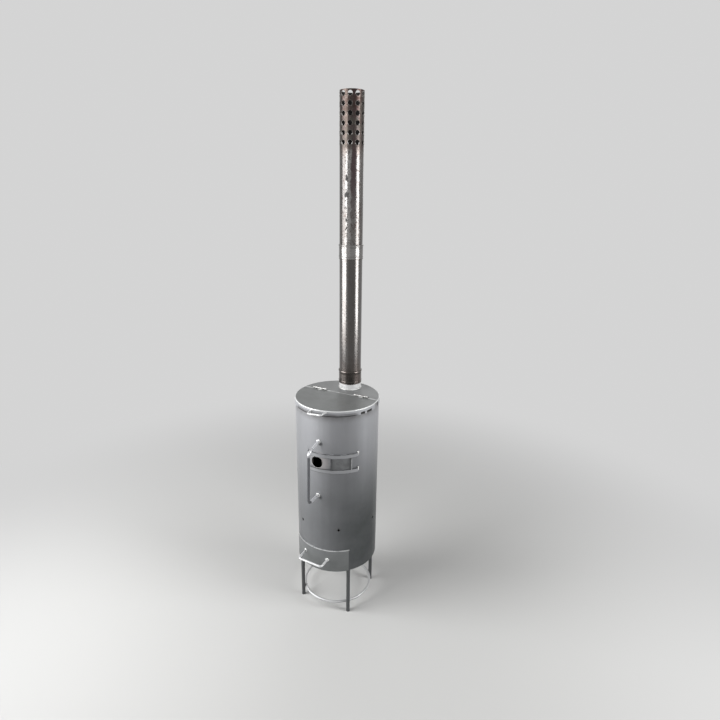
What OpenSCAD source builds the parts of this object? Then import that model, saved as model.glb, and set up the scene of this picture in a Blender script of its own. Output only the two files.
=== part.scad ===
// Tent wood stove: a round upright firebox on four legs with a hinged half lid,
// an ash drawer, a curved air slide and two sections of stove pipe.
// Millimetres, +Z up. The origin is on the floor, on the firebox axis.
// The front, with the drawer and the handles, faces -Y.
// An angle called az is measured round the axis from the front towards +X.

/* [Firebox] */
// Outside diameter of the firebox tube
body_d = 300; // [260:5:360]
// Sheet thickness of the firebox tube
wall_t = 2; // [1.4:0.1:3]
// Height of the firebox base above the floor
base_z = 195.5; // [150:0.5:260]
// Height of the firebox tube
body_h = 641.3; // [600:0.1:760]
// Thickness of the top and bottom plates
plate_t = 2; // [1.5:0.1:3]

/* [Draught holes] */
// Number of small draught holes round the firebox
draught_n = 6; // [4:1:8]
// Diameter of a draught hole
draught_d = 9; // [5:0.5:12]
// Height of the draught holes above the firebox base
draught_up = 178.5; // [160:0.5:220]

/* [Top] */
// Outside diameter that the top plates add to the firebox
top_lap = 4; // [3.4:0.2:6]
// Thickness of the skirt under the top plates
skirt_t = 1.5; // [1:0.1:1.7]
// Depth of the skirt below the top face
skirt_h = 20.8; // [16:0.2:28]
// Distance from the pipe to the split between the two top plates
split_off = 38; // [30:1:46]
// Open gap between the two top plates
split_gap = 1.5; // [1:0.1:3]
// How far the lid skirt stops in front of the firebox centre
skirt_stop = 5; // [2:0.5:12]
// Height of the two relief notches in the lid skirt
notch_h = 9; // [5:0.5:12]
// Width of the bar under the split
rest_bar_w = 20; // [14:1:26]
// Thickness of the bar under the split
rest_bar_t = 3; // [2:0.5:5]

/* [Hinges] */
// Distance from the middle of a hinge to the side of the firebox
hinge_inset = 66; // [60:1:80]
// Length of one hinge barrel
hinge_len = 55; // [45:1:70]
// Outside diameter of a hinge barrel
barrel_d = 7; // [6:0.5:10]
// Diameter of a hinge pin
pin_d = 3.4; // [2.4:0.1:4]
// Gap between neighbouring knuckles
knuckle_gap = 0.8; // [0.5:0.1:1.5]

/* [Flue] */
// Outside diameter of the stove pipe and of the collar
pipe_d = 80; // [70:1:100]
// Sheet thickness of the pipe
pipe_t = 1; // [0.6:0.1:1.5]
// Wall thickness of the collar
collar_t = 1.5; // [1:0.1:2.5]
// Distance from the collar to the back of the firebox
flue_inset = 10; // [8:1:16]
// Height of the collar
collar_h = 65.5; // [55:0.5:80]
// Diameter of the hole in the front of the collar
collar_hole_d = 5; // [4:0.5:8]
// Height of the hole above the top plate
collar_hole_up = 9; // [7:0.5:13]
// Depth of a pipe socket
socket_h = 45; // [38:1:50]
// Height of the bead over a socket, beyond the pipe
bead_out = 3.2; // [2.6:0.1:5]
// Length of the lower pipe section
lower_len = 500; // [400:5:600]
// Length of the upper pipe section
upper_len = 528; // [450:1:600]

/* [Spark holes] */
// Diameter of a spark hole
spark_d = 16; // [10:1:18]
// Number of rows of spark holes
spark_rows = 6; // [4:1:8]
// Number of spark holes in a row
spark_columns = 10; // [6:1:12]
// Distance between rows
spark_pitch = 28.5; // [24:0.5:34]
// Distance from the pipe end to the first row
spark_first = 12.5; // [11:0.5:20]
// Where the first column stands
spark_az = -18; // [-18:1:18]

/* [Air slide] */
// Diameter of the air hole
air_hole_d = 44; // [30:1:44]
// Distance of the air hole below the top face
air_down = 197.8; // [170:0.2:220]
// Height of the open window between the guides
window_h = 44; // [44:1:50]
// Width of a guide strip
guide_w = 14; // [13:0.5:20]
// Thickness of a guide strip
guide_t = 2; // [1.5:0.1:3]
// Left end of the guides
guide_az_left = -14; // [-18:0.5:-14]
// Right end of the guides
guide_az_right = 56.5; // [56:0.5:66]
// Left edge of the slide plate where it stands open
slide_az = 20; // [19:0.5:21.5]
// Angle that the slide plate covers
slide_sweep = 26.8; // [26.5:0.1:27.5]
// Sheet thickness of the slide plate
slide_t = 1.6; // [1:0.1:2]
// How far the slide plate reaches behind each guide
slide_lap = 8; // [6:0.5:9]
// How far the bent ends of the slide plate stand out
slide_lip = 8; // [6:0.5:14]

/* [Carrying handle] */
// Diameter of the carrying handle rod
carry_d = 10; // [8:0.5:12]
// Distance of the upper weld below the top face
carry_down = 118; // [105:1:125]
// Distance between the two welds
carry_len = 211; // [190:1:230]
// How far the upper corner stands out from the firebox
carry_out_top = 63; // [45:1:75]
// How far the lower corner stands out from the firebox
carry_out_low = 65; // [45:1:75]
// How far the upper arm slopes down
carry_drop = 15; // [10:1:30]
// How far the lower arm slopes down
carry_droop = -2; // [-4:1:8]
// Bend radius of the carrying handle
carry_bend = 16; // [8:1:16]
// How far the carrying handle lies to the right of the front
carry_side = 5; // [0:1:10]
// Lean of the carrying handle, top to the right
carry_lean = 1; // [0:0.5:3]

/* [Lid handle] */
// Diameter of the lid handle rod
lift_d = 6; // [5:0.5:8]
// Width between the two ends of the lid handle
lift_w = 55; // [50:1:64]
// How far the middle of the lid handle lies to the right of the front
lift_side = 6.5; // [0:0.5:10]
// Tilt of the lid handle, right end up
lift_tilt = 4; // [0:0.5:4]
// How far the lid handle stands out from the skirt
lift_out = 26; // [24:1:40]
// Height of the lid handle below the top face
lift_down = 7.4; // [7.2:0.1:9]
// Bend radius of the lid handle
lift_bend = 8; // [6:1:12]

/* [Ash drawer] */
// Outside width of the ash tray
tray_w = 190; // [160:2:200]
// Length of the ash tray behind the drawer front
tray_len = 220; // [180:2:235]
// Outside height of the ash tray
tray_h = 70; // [50:1:74]
// Sheet thickness of the tray and of the drawer front
tray_t = 1.5; // [1:0.1:2.5]
// How far the drawer front stands out from the firebox
front_out = 4; // [3.5:0.1:6]
// How far the drawer front laps over the sides of its opening
front_lap = 11; // [8:0.5:14]
// How far the drawer front laps over the top of its opening
front_lap_top = 9; // [6:0.5:12]
// Height of the drawer front's lower edge above the firebox base
front_up = 1.5; // [0.5:0.5:3]
// Height of the runners under the tray
runner_h = 6; // [5:0.5:10]
// Width of a runner
runner_w = 14; // [12:1:20]
// Height of the runner's guide edge
runner_lip_h = 11; // [8:1:16]
// Thickness of the runner's guide edge
runner_lip_t = 2; // [1.5:0.5:3]

/* [Drawer handle] */
// Diameter of the drawer handle rod
pull_d = 8; // [6:0.5:10]
// Width of the drawer handle
pull_w = 95; // [80:1:105]
// Distance of the drawer handle's middle to the left of the drawer's middle
pull_side = 10; // [0:1:15]
// How much the drawer handle tilts, its left end up
pull_tilt = 3; // [0:0.5:4]
// How far the drawer handle stands out from the drawer front
pull_out = 39; // [34:1:50]
// Height of the drawer handle above the drawer front's lower edge
pull_up = 52; // [40:1:60]
// Bend radius of the drawer handle
pull_bend = 10; // [8:1:14]

/* [Grate] */
// Thickness of the grate
grate_t = 5; // [4:0.5:8]
// Height of the grate above the drawer opening
grate_up = 23; // [22:1:40]
// Width of a slot in the grate
slot_w = 9; // [6:0.5:11]
// Distance between grate slots
slot_pitch = 21; // [19:0.5:26]
// Width of the solid rim of the grate
grate_rim = 14; // [10:1:18]
// Width of a lug that carries the grate
lug_w = 18; // [14:1:18]
// Reach of a lug under the grate
lug_reach = 18; // [14:1:24]
// Thickness of a lug
lug_t = 3; // [2:0.5:4]
// Height of a lug's welded leg
lug_h = 17; // [12:1:18]

/* [Legs] */
// Diameter of a leg
leg_d = 14; // [12:0.5:18]
// Diameter of the foot ring's rod
ring_d = 9.5; // [8:0.5:12]
// Height of the foot ring above the floor
ring_z = 38; // [25:1:80]

/* [Clearances] */
// Gap that a weld bridges
weld_gap = 0.05; // [0.03:0.01:0.1]
// Size of a weld round a rod end
weld_leg = 3; // [2:0.5:4]
// Radial clearance of a hinge pin
pin_gap = 0.05; // [0.03:0.01:0.08]
// Gap between a hinge barrel and the top plates
barrel_gap = 0.3; // [0.3:0.1:1]
// Gap between the skirt and the firebox
skirt_gap = 0.5; // [0.4:0.05:1]
// Radial gap between a pipe socket and what it slides over
socket_gap = 0.6; // [0.4:0.1:1]
// Gap before and behind the air slide plate
slide_gap = 0.4; // [0.35:0.05:0.8]
// Gap over and under the air slide plate
slide_end_gap = 1; // [0.6:0.1:1.2]
// Gap between the drawer front's edges and the firebox
front_gap = 0.4; // [0.35:0.05:1]
// Gap round the tray in its opening
cut_gap = 3; // [2:0.5:4]
// Gap between the tray and its runners
run_gap = 0.4; // [0.35:0.05:0.8]
// Gap between the grate and the firebox wall
grate_gap = 4; // [3:0.5:8]
// Gap between a leg and the inside of the firebox wall
leg_gap = 0.3; // [0.1:0.1:1]

/* [Hidden] */
$fn = 96;
cut = 1;
steel_paint = [0.66, 0.67, 0.67];
top_paint = [0.56, 0.58, 0.57];
pipe_steel = [0.43, 0.38, 0.34];
dark_iron = [0.2, 0.19, 0.18];
bare_steel = [0.5, 0.49, 0.47];

// Firebox and top
body_r = body_d / 2;
inner_r = body_r - wall_t;
seat_z = base_z + body_h;
top_z = seat_z + plate_t;
top_r = body_r + top_lap / 2;
skirt_in_r = top_r - skirt_t;
pipe_r = pipe_d / 2;
pipe_in_r = pipe_r - pipe_t;
flue_y = body_r - flue_inset - pipe_r;
split_y = flue_y - pipe_r - split_off;
lid_edge_y = split_y - split_gap / 2;
rear_edge_y = split_y + split_gap / 2;
collar_in_r = pipe_r - collar_t;
collar_top_z = top_z + collar_h;
collar_hole_az = -22.5;
notches = [[60, 67], [70, 80]];

// Hinges: two outer knuckles on the rear plate, one on the lid
barrel_r = barrel_d / 2;
bore_r = pin_d / 2 + pin_gap;
hinge_z = top_z + barrel_r + barrel_gap;
knuckle_len = (hinge_len - 2 * knuckle_gap) / 3;
hinge_step = knuckle_len + knuckle_gap;
hinge_x = body_r - hinge_inset;

// Pipe
socket_in_r = pipe_r + socket_gap;
socket_r = socket_in_r + pipe_t;
bead_r = 4;
lower_z = collar_top_z - socket_h;
lower_top_z = lower_z + lower_len;
upper_z = lower_top_z - socket_h;
upper_top_z = upper_z + upper_len;

// Air slide
slide_z = top_z - air_down;
slide_in_r = body_r + slide_gap;
slide_out_r = slide_in_r + slide_t;
guide_in_r = slide_out_r + slide_gap;
guide_out_r = guide_in_r + guide_t;
guide_stop_sweep = 1.2;
lip_margin = 1;

// Rod bends: how far one turns on into a straight stretch, and how much thinner it is
bend_reach_sweep = 2;
bend_thin = 0.04;

// Carrying handle, in the upright plane through the axis
carry_top_z = top_z - carry_down;
carry_low_z = carry_top_z - carry_len;
carry_mid_z = (carry_top_z + carry_low_z) / 2;
carry_points = [
    [inner_r, carry_top_z],
    [body_r + carry_out_top, carry_top_z - carry_drop],
    [body_r + carry_out_low, carry_low_z - carry_droop],
    [inner_r, carry_low_z]
];

// Lid handle and drawer handle, each in a level plane
lift_z = top_z - lift_down;
lift_y = -(top_r + lift_out - lift_d / 2);
function skirt_y(side) = sqrt(top_r * top_r - side * side);
lift_points = [
    [-lift_w / 2, lift_out - skirt_y(lift_side - lift_w / 2)],
    [-lift_w / 2, lift_y],
    [lift_w / 2, lift_y],
    [lift_w / 2, lift_out - skirt_y(lift_side + lift_w / 2)]
];
front_r = body_r + front_out;
pull_y = -(front_r + pull_out);
pull_points = [
    [-pull_w / 2, pull_out - front_y(pull_side + pull_w / 2)],
    [-pull_w / 2, pull_y],
    [pull_w / 2, pull_y],
    [pull_w / 2, pull_out - front_y(pull_side - pull_w / 2)]
];

// Ash drawer
floor_z = base_z + plate_t;
tray_z = floor_z + runner_h + run_gap;
tray_back_y = tray_len - front_r + tray_t;
front_in_r = front_r - tray_t;
cut_half_w = tray_w / 2 + cut_gap;
cut_low_z = tray_z - cut_gap;
cut_top_z = tray_z + tray_h + cut_gap;
front_low_z = base_z + front_up;
front_top_z = cut_top_z + front_lap_top;
front_az = asin(cut_half_w / body_r) + front_lap / body_r * 180 / PI;
pull_z = front_low_z + pull_up;
runner_x = tray_w / 2 + run_gap + runner_lip_t;
runner_front_y = -sqrt(inner_r * inner_r - runner_x * runner_x) + cut_gap;
runner_back_y = tray_back_y + cut_gap;

// Grate
grate_z = cut_top_z + grate_up;
grate_r = inner_r - grate_gap;
slot_area_r = grate_r - grate_rim;
slot_count = floor((slot_area_r - slot_w) / slot_pitch);
cross_bar_w = 12;
lug_az = [45, 135, -135, -45];

// Legs
leg_r = leg_d / 2;
leg_ring_r = inner_r - leg_r - leg_gap;
ring_r = ring_d / 2;
ring_path_r = leg_ring_r - leg_r - ring_r - weld_gap;

// Turns its children so that +X points to the az angle
module at_az(az) {
    rotate([0, 0, az - 90]) children();
}

// A stretch of a ring between two radii, two heights and two az angles
module ring_band(r_in, r_out, z_low, z_high, az_from, az_to) {
    at_az(az_from)
        rotate_extrude(angle = az_to - az_from)
            translate([r_in, z_low]) square([r_out - r_in, z_high - z_low]);
}

// A tube between two heights
module tube(r_in, r_out, z_low, z_high) {
    rotate_extrude() translate([r_in, z_low]) square([r_out - r_in, z_high - z_low]);
}

function direction(from, to) = (to - from) / norm(to - from);
function turn(a, b, c) =
    let (u = direction(a, b), v = direction(b, c))
    atan2(u[0] * v[1] - u[1] * v[0], u[0] * v[0] + u[1] * v[1]);
function trim_at(points, i, bend) =
    i == 0 || i == len(points) - 1 ? 0
    : bend * tan(abs(turn(points[i - 1], points[i], points[i + 1])) / 2);

// A round rod bent along points in the XY plane, with round bends. A bend is
// a hair thinner than the rod and reaches a little way into both stretches.
// A weld surrounds each end, weld_at along the end stretches: it is wide at
// the surface that the rod meets and runs out into the rod at its top.
module bent_rod(points, rod_d, bend, weld_at) {
    last = len(points) - 1;
    for (i = [0 : last - 1]) {
        u = direction(points[i], points[i + 1]);
        start = points[i] + u * trim_at(points, i, bend);
        end = points[i + 1] - u * trim_at(points, i + 1, bend);
        translate([start[0], start[1], 0])
            rotate([0, 90, atan2(u[1], u[0])])
                cylinder(d = rod_d, h = norm(end - start));
    }
    for (ends = [[0, 1], [last, last - 1]]) {
        u = direction(points[ends[0]], points[ends[1]]);
        weld = points[ends[0]] + u * (weld_at - weld_leg);
        translate([weld[0], weld[1], 0])
            rotate([0, 90, atan2(u[1], u[0])])
                cylinder(h = 2 * weld_leg, r1 = rod_d / 2 + 1.4 * weld_leg,
                    r2 = rod_d / 2 - weld_leg / 4);
    }
    for (i = [1 : last - 1]) {
        u = direction(points[i - 1], points[i]);
        angle = turn(points[i - 1], points[i], points[i + 1]);
        side = angle > 0 ? 1 : -1;
        start = points[i] - u * trim_at(points, i, bend);
        centre = start + side * bend * [-u[1], u[0]];
        from = atan2(start[1] - centre[1], start[0] - centre[0]) + min(angle, 0);
        translate([centre[0], centre[1], 0])
            rotate([0, 0, from - bend_reach_sweep])
                rotate_extrude(angle = abs(angle) + 2 * bend_reach_sweep)
                    translate([bend, 0]) circle(d = rod_d - bend_thin, $fn = 48);
    }
}

module firebox_shell() {
    color(steel_paint)
    difference() {
        tube(inner_r, body_r, base_z, seat_z);
        at_az(0)
            translate([inner_r - cut, 0, slide_z])
                rotate([0, 90, 0]) cylinder(d = air_hole_d, h = wall_t + 2 * cut);
        for (i = [0 : draught_n - 1])
            at_az((i + 0.5) * 360 / draught_n)
                translate([inner_r - cut, 0, base_z + draught_up])
                    rotate([0, 90, 0]) cylinder(d = draught_d, h = wall_t + 2 * cut);
        translate([-cut_half_w, -body_r - cut, cut_low_z])
            cube([2 * cut_half_w, body_r, cut_top_z - cut_low_z]);
    }
}

module bottom_plate() {
    color(steel_paint)
    translate([0, 0, base_z]) cylinder(r = inner_r - weld_gap, h = plate_t);
}

// Full round cap: a plate with a rounded edge and a skirt below it
module cap() {
    rotate_extrude() {
        translate([0, seat_z]) square([top_r - plate_t, plate_t]);
        intersection() {
            translate([top_r - plate_t, seat_z]) circle(r = plate_t, $fn = 48);
            translate([top_r - plate_t, seat_z]) square(plate_t);
        }
        translate([skirt_in_r, top_z - skirt_h]) square([skirt_t, skirt_h - plate_t]);
    }
}

module rear_top_plate() {
    color(top_paint)
    difference() {
        cap();
        translate([-top_r - cut, rear_edge_y - 2 * top_r, top_z - skirt_h - cut])
            cube([2 * (top_r + cut), 2 * top_r, skirt_h + 2 * cut]);
        translate([0, flue_y, seat_z - cut]) cylinder(r = collar_in_r, h = plate_t + 2 * cut);
    }
}

module loading_lid() {
    color(top_paint)
    difference() {
        cap();
        translate([-top_r - cut, lid_edge_y, top_z - skirt_h - cut])
            cube([2 * (top_r + cut), 2 * top_r, skirt_h + 2 * cut]);
        translate([-top_r - cut, -skirt_stop, top_z - skirt_h - cut])
            cube([2 * (top_r + cut), top_r, skirt_h - plate_t + cut]);
        for (n = notches)
            ring_band(skirt_in_r - cut, top_r + cut,
                top_z - skirt_h - cut, top_z - skirt_h + notch_h, n[0], n[1]);
    }
}

module lid_rest_bar() {
    color(bare_steel)
    intersection() {
        translate([-body_r, split_y - rest_bar_w / 2, seat_z - rest_bar_t])
            cube([body_d, rest_bar_w, rest_bar_t]);
        cylinder(r = inner_r - weld_gap, h = seat_z);
    }
}

module flue_collar() {
    color(steel_paint)
    translate([0, flue_y, 0])
    difference() {
        rotate_extrude() {
            translate([collar_in_r, top_z]) square([collar_t, collar_h]);
            polygon([
                [pipe_r - collar_t / 2, top_z],
                [pipe_r + weld_leg, top_z],
                [pipe_r, top_z + weld_leg],
                [pipe_r - collar_t / 2, top_z + weld_leg]
            ]);
        }
        at_az(collar_hole_az)
            translate([0, 0, top_z + collar_hole_up])
                rotate([0, 90, 0]) cylinder(d = collar_hole_d, h = pipe_r + cut);
    }
}

// One knuckle on the hinge axis; side is 1 over the rear plate, -1 over the lid
module knuckle(x_middle, side) {
    foot_y = split_gap / 2;
    translate([x_middle - knuckle_len / 2, split_y, hinge_z])
    difference() {
        union() {
            rotate([0, 90, 0]) cylinder(r = barrel_r, h = knuckle_len);
            translate([0, side > 0 ? foot_y : -barrel_r, -barrel_r - barrel_gap])
                cube([knuckle_len, barrel_r - foot_y, barrel_r + barrel_gap]);
        }
        translate([-cut, 0, 0])
            rotate([0, 90, 0]) cylinder(r = bore_r, h = knuckle_len + 2 * cut);
    }
}

module fixed_knuckles(x_middle) {
    color(bare_steel)
    for (s = [-1, 1]) knuckle(x_middle + s * hinge_step, 1);
}

module hinge_pin(x_middle) {
    color(bare_steel)
    translate([x_middle - hinge_len / 2, split_y, hinge_z])
        rotate([0, 90, 0]) cylinder(d = pin_d, h = hinge_len);
}

module lid_knuckle(x_middle) {
    color(bare_steel) knuckle(x_middle, -1);
}

module lid_handle() {
    color(steel_paint)
    difference() {
        translate([lift_side, 0, lift_z]) rotate([0, -lift_tilt, 0])
            bent_rod(lift_points, lift_d, lift_bend, lift_out);
        cylinder(r = top_r + weld_gap, h = top_z + cut);
        translate([0, 0, top_z - 1.9]) cylinder(r = top_r + lift_out, h = lift_d);
    }
}

module carrying_handle() {
    color(steel_paint)
    difference() {
        translate([carry_side, 0, carry_mid_z]) rotate([0, carry_lean, 0]) translate([0, 0, -carry_mid_z])
            rotate([90, 0, -90]) bent_rod(carry_points, carry_d, carry_bend, wall_t);
        cylinder(r = body_r + weld_gap, h = top_z);
    }
}

// One air guide: a strip that stands in front of the slide plate's edge, with
// a web to the firebox along its far side and a stop at each end.
// side is 1 for the upper guide and -1 for the lower one.
module air_guide(side) {
    in_z = slide_z + side * window_h / 2;
    out_z = in_z + side * guide_w;
    web_z = in_z + side * (slide_lap + slide_end_gap);
    open_z = in_z - side * cut;
    color(steel_paint)
    difference() {
        ring_band(body_r + weld_gap, guide_out_r, min(in_z, out_z), max(in_z, out_z),
            guide_az_left, guide_az_right);
        ring_band(body_r - cut, guide_in_r, min(open_z, web_z), max(open_z, web_z),
            guide_az_left + guide_stop_sweep, guide_az_right - guide_stop_sweep);
    }
}

module air_slide() {
    plate_half = window_h / 2 + slide_lap;
    lip_half = window_h / 2 - lip_margin;
    color(steel_paint) {
        ring_band(slide_in_r, slide_out_r, slide_z - plate_half, slide_z + plate_half,
            slide_az, slide_az + slide_sweep);
        for (end = [0, 1])
            at_az(slide_az + end * slide_sweep)
                translate([slide_in_r + slide_t / 2, -end * slide_t, slide_z - lip_half])
                    cube([slide_lip + slide_t / 2, slide_t, 2 * lip_half]);
    }
}

// Curved sheet whose top and side edges turn back towards the firebox
module drawer_front() {
    return_az = front_az - tray_t / front_r * 180 / PI;
    color(steel_paint)
    difference() {
        ring_band(body_r + front_gap, front_r, front_low_z, front_top_z, -front_az, front_az);
        ring_band(body_r - cut, front_in_r, front_low_z - cut, front_top_z - tray_t,
            -return_az, return_az);
    }
}

module ash_tray() {
    color(bare_steel)
    intersection() {
        difference() {
            translate([-tray_w / 2, -front_r, tray_z])
                cube([tray_w, front_r + tray_back_y, tray_h]);
            translate([-tray_w / 2 + tray_t, -front_r - cut, tray_z + tray_t])
                cube([tray_w - 2 * tray_t, front_r + tray_back_y + cut - tray_t, tray_h]);
        }
        translate([0, 0, tray_z - cut])
            cylinder(r = front_in_r - weld_gap, h = tray_h + 2 * cut);
    }
}

// How far in front of the axis the drawer front's face is, at a distance to the side
function front_y(side) = sqrt(front_r * front_r - side * side);

module drawer_handle() {
    color(steel_paint)
    difference() {
        translate([-pull_side, 0, pull_z]) rotate([0, pull_tilt, 0])
            bent_rod(pull_points, pull_d, pull_bend, pull_out);
        cylinder(r = front_r + weld_gap, h = top_z);
    }
}

// A runner under one side of the tray; side is -1 on the left and 1 on the right
module runner(side) {
    low_x = runner_x - runner_w;
    color(bare_steel) {
        translate([side > 0 ? low_x : -runner_x, runner_front_y, floor_z])
            cube([runner_w, runner_back_y - runner_front_y, runner_h]);
        translate([side > 0 ? runner_x - runner_lip_t : -runner_x, runner_front_y,
            floor_z + runner_h])
            cube([runner_lip_t, runner_back_y - runner_front_y, runner_lip_h]);
    }
}

// A slot with round ends, along Y between two values
module grate_slot(x, y_from, y_to) {
    for (y = [y_from, y_to])
        translate([x, y, grate_z - cut]) cylinder(d = slot_w, h = grate_t + 2 * cut);
    translate([x - slot_w / 2, y_from, grate_z - cut])
        cube([slot_w, y_to - y_from, grate_t + 2 * cut]);
}

module grate() {
    color(dark_iron)
    difference() {
        translate([0, 0, grate_z]) cylinder(r = grate_r, h = grate_t);
        for (i = [-slot_count : slot_count]) {
            near = (cross_bar_w + slot_w) / 2;
            far = sqrt(slot_area_r * slot_area_r - pow(i * slot_pitch, 2)) - slot_w / 2;
            if (far > near + slot_w) {
                grate_slot(i * slot_pitch, near, far);
                grate_slot(i * slot_pitch, -far, -near);
            }
        }
    }
}

module grate_lugs() {
    color(bare_steel)
    intersection() {
        for (az = lug_az)
            at_az(az) {
                translate([inner_r - lug_reach, -lug_w / 2, grate_z - lug_t])
                    cube([lug_reach, lug_w, lug_t]);
                translate([inner_r - 2 * lug_t, -lug_w / 2, grate_z - lug_t - lug_h])
                    cube([2 * lug_t, lug_w, lug_h]);
            }
        cylinder(r = inner_r - weld_gap, h = grate_z);
    }
}

// One leg, from the floor to the underside of the bottom plate
module leg(az) {
    color(steel_paint)
    at_az(az) translate([leg_ring_r, 0, 0]) cylinder(r = leg_r, h = base_z);
}

module foot_ring() {
    color(steel_paint)
    translate([0, 0, ring_z])
        rotate_extrude() translate([ring_path_r, 0]) circle(r = ring_r, $fn = 48);
}

// A pipe section with a socket at its foot and a bead over the socket
module pipe_section(foot_z, length) {
    shoulder_z = foot_z + socket_h;
    translate([0, flue_y, 0])
    rotate_extrude()
    difference() {
        union() {
            translate([0, foot_z]) square([pipe_r, length]);
            translate([0, foot_z]) square([socket_r, socket_h + pipe_t]);
            translate([pipe_r + bead_out - bead_r, shoulder_z + pipe_t]) circle(r = bead_r, $fn = 48);
        }
        translate([-cut - pipe_r, foot_z - cut]) square([cut + pipe_r + pipe_in_r, length + 2 * cut]);
        translate([0, foot_z - cut]) square([socket_in_r, socket_h + cut]);
    }
}

module lower_pipe() {
    color(pipe_steel) pipe_section(lower_z, lower_len);
}

module upper_pipe() {
    color(pipe_steel)
    difference() {
        pipe_section(upper_z, upper_len);
        for (row = [0 : spark_rows - 1])
            for (i = [0 : spark_columns - 1])
                translate([0, flue_y, upper_top_z - spark_first - row * spark_pitch])
                    at_az(spark_az + i * 360 / spark_columns)
                        translate([pipe_r / 2, 0, 0])
                            rotate([0, 90, 0]) cylinder(d = spark_d, h = pipe_r);
    }
}

firebox_shell();
bottom_plate();
rear_top_plate();
lid_rest_bar();
flue_collar();
fixed_knuckles(-hinge_x);  // left_hinge_fixed_knuckles
hinge_pin(-hinge_x);  // left_hinge_pin
lid_knuckle(-hinge_x);  // left_hinge_lid_knuckle
fixed_knuckles(hinge_x);  // right_hinge_fixed_knuckles
hinge_pin(hinge_x);  // right_hinge_pin
lid_knuckle(hinge_x);  // right_hinge_lid_knuckle
loading_lid();
lid_handle();
carrying_handle();
air_guide(1);  // upper_air_guide
air_guide(-1);  // lower_air_guide
air_slide();
drawer_front();
ash_tray();
drawer_handle();
runner(-1);  // left_runner
runner(1);  // right_runner
grate();
grate_lugs();
leg(-45);  // front_left_leg
leg(45);  // front_right_leg
leg(-135);  // rear_left_leg
leg(135);  // rear_right_leg
foot_ring();
lower_pipe();
upper_pipe();
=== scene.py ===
# %% [markdown]
# # A tent wood stove, dressed in Blender
# The stove is an upright sheet-steel drum on four round legs. It has a hinged half lid, a curved
# air slide, an ash drawer with a pull, a long carrying handle and a chimney of two pipes whose
# end is perforated against sparks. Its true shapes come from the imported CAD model. This lesson
# gives each piece its finish and adds what a workshop leaves behind: weld beads, burrs round
# drilled holes, folded seams and hemmed sockets.

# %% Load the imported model
import math

import bmesh
import bpy
from mathutils import Matrix, Vector


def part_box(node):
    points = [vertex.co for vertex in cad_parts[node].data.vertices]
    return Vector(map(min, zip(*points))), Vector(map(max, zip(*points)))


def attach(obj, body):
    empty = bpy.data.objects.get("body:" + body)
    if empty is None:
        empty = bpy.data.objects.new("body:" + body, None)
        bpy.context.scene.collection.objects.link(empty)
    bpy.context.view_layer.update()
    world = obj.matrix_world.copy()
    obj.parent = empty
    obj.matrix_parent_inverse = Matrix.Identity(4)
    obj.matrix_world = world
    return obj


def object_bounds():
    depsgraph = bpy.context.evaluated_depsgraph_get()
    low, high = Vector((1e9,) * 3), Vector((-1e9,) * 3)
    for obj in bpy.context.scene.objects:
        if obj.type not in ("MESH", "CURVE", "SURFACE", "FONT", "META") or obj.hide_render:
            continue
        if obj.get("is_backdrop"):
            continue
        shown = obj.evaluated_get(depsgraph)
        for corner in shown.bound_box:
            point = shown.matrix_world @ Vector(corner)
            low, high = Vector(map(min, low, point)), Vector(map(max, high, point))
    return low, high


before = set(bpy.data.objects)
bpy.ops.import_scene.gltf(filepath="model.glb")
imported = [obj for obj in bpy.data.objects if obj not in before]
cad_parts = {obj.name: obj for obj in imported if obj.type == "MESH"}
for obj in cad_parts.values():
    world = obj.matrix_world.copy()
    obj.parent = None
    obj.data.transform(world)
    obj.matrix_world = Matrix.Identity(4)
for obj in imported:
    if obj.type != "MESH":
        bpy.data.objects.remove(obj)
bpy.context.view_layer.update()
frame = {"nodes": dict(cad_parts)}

nodes = frame["nodes"]

# %% [markdown]
# ## Sizes that come from the frame
# Every added piece sits on a CAD piece, so its place is worked out from that piece's box. Where a
# box can't tell it, as for the ends of a bent rod, it is typed once, as it stands in the CAD
# model. An angle called az is measured round the firebox from the front towards +X.

# %% Measure the main pieces
def corners(name):
    low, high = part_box(name)
    return Vector(low), Vector(high)


shell_low, shell_high = corners("firebox_shell")
SHELL_R = shell_high.x
WALL = 0.002
lid_low, lid_high = corners("loading_lid")
TOP_R, TOP_Z = lid_high.x, lid_high.z
lower_low, lower_high = corners("lower_pipe")
upper_low, upper_high = corners("upper_pipe")
PIPE_R = 0.04
PIPE_Y = (lower_low.y + lower_high.y) / 2
front_low, front_high = corners("drawer_front")
FRONT_R = 0.154
AIR_Z = sum(c.z for c in corners("air_slide")) / 2
print("shell radius", round(SHELL_R, 4), "top", round(TOP_Z, 4), "pipe at y", round(PIPE_Y, 4))


def on_ring(radius, az, z, centre_y=0.0):
    """A point at an az angle, in degrees, round an upright axis."""
    a = math.radians(az)
    return Vector((radius * math.sin(a), centre_y - radius * math.cos(a), z))


# %% [markdown]
# ## The camera
# The photo was taken by hand, from the front right and from well above the lid.
# Position, direction and lens were found by fitting the stove's known circles and heights to
# their outlines in the photo. A camera can be aimed with a Track To constraint or by its matrix.
# The matrix is used here, because a hand-held camera also leans a little to one side.

# %% Place the camera
CAMERA_AT = Vector((0.8359, -1.5424, 1.5384))
YAW, TILT, ROLL = (math.radians(a) for a in (25.846, 17.912, 0.766))
SENSOR = 36.0
FOCAL_SHARE = 522.35 / 720

ahead = Vector((-math.sin(YAW) * math.cos(TILT), math.cos(YAW) * math.cos(TILT), -math.sin(TILT)))
level = Vector((math.cos(YAW), math.sin(YAW), 0))
upward = level.cross(ahead)
right = level * math.cos(ROLL) + upward * math.sin(ROLL)
up = upward * math.cos(ROLL) - level * math.sin(ROLL)
turn = Matrix((right, up, -ahead)).transposed().to_4x4()

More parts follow.
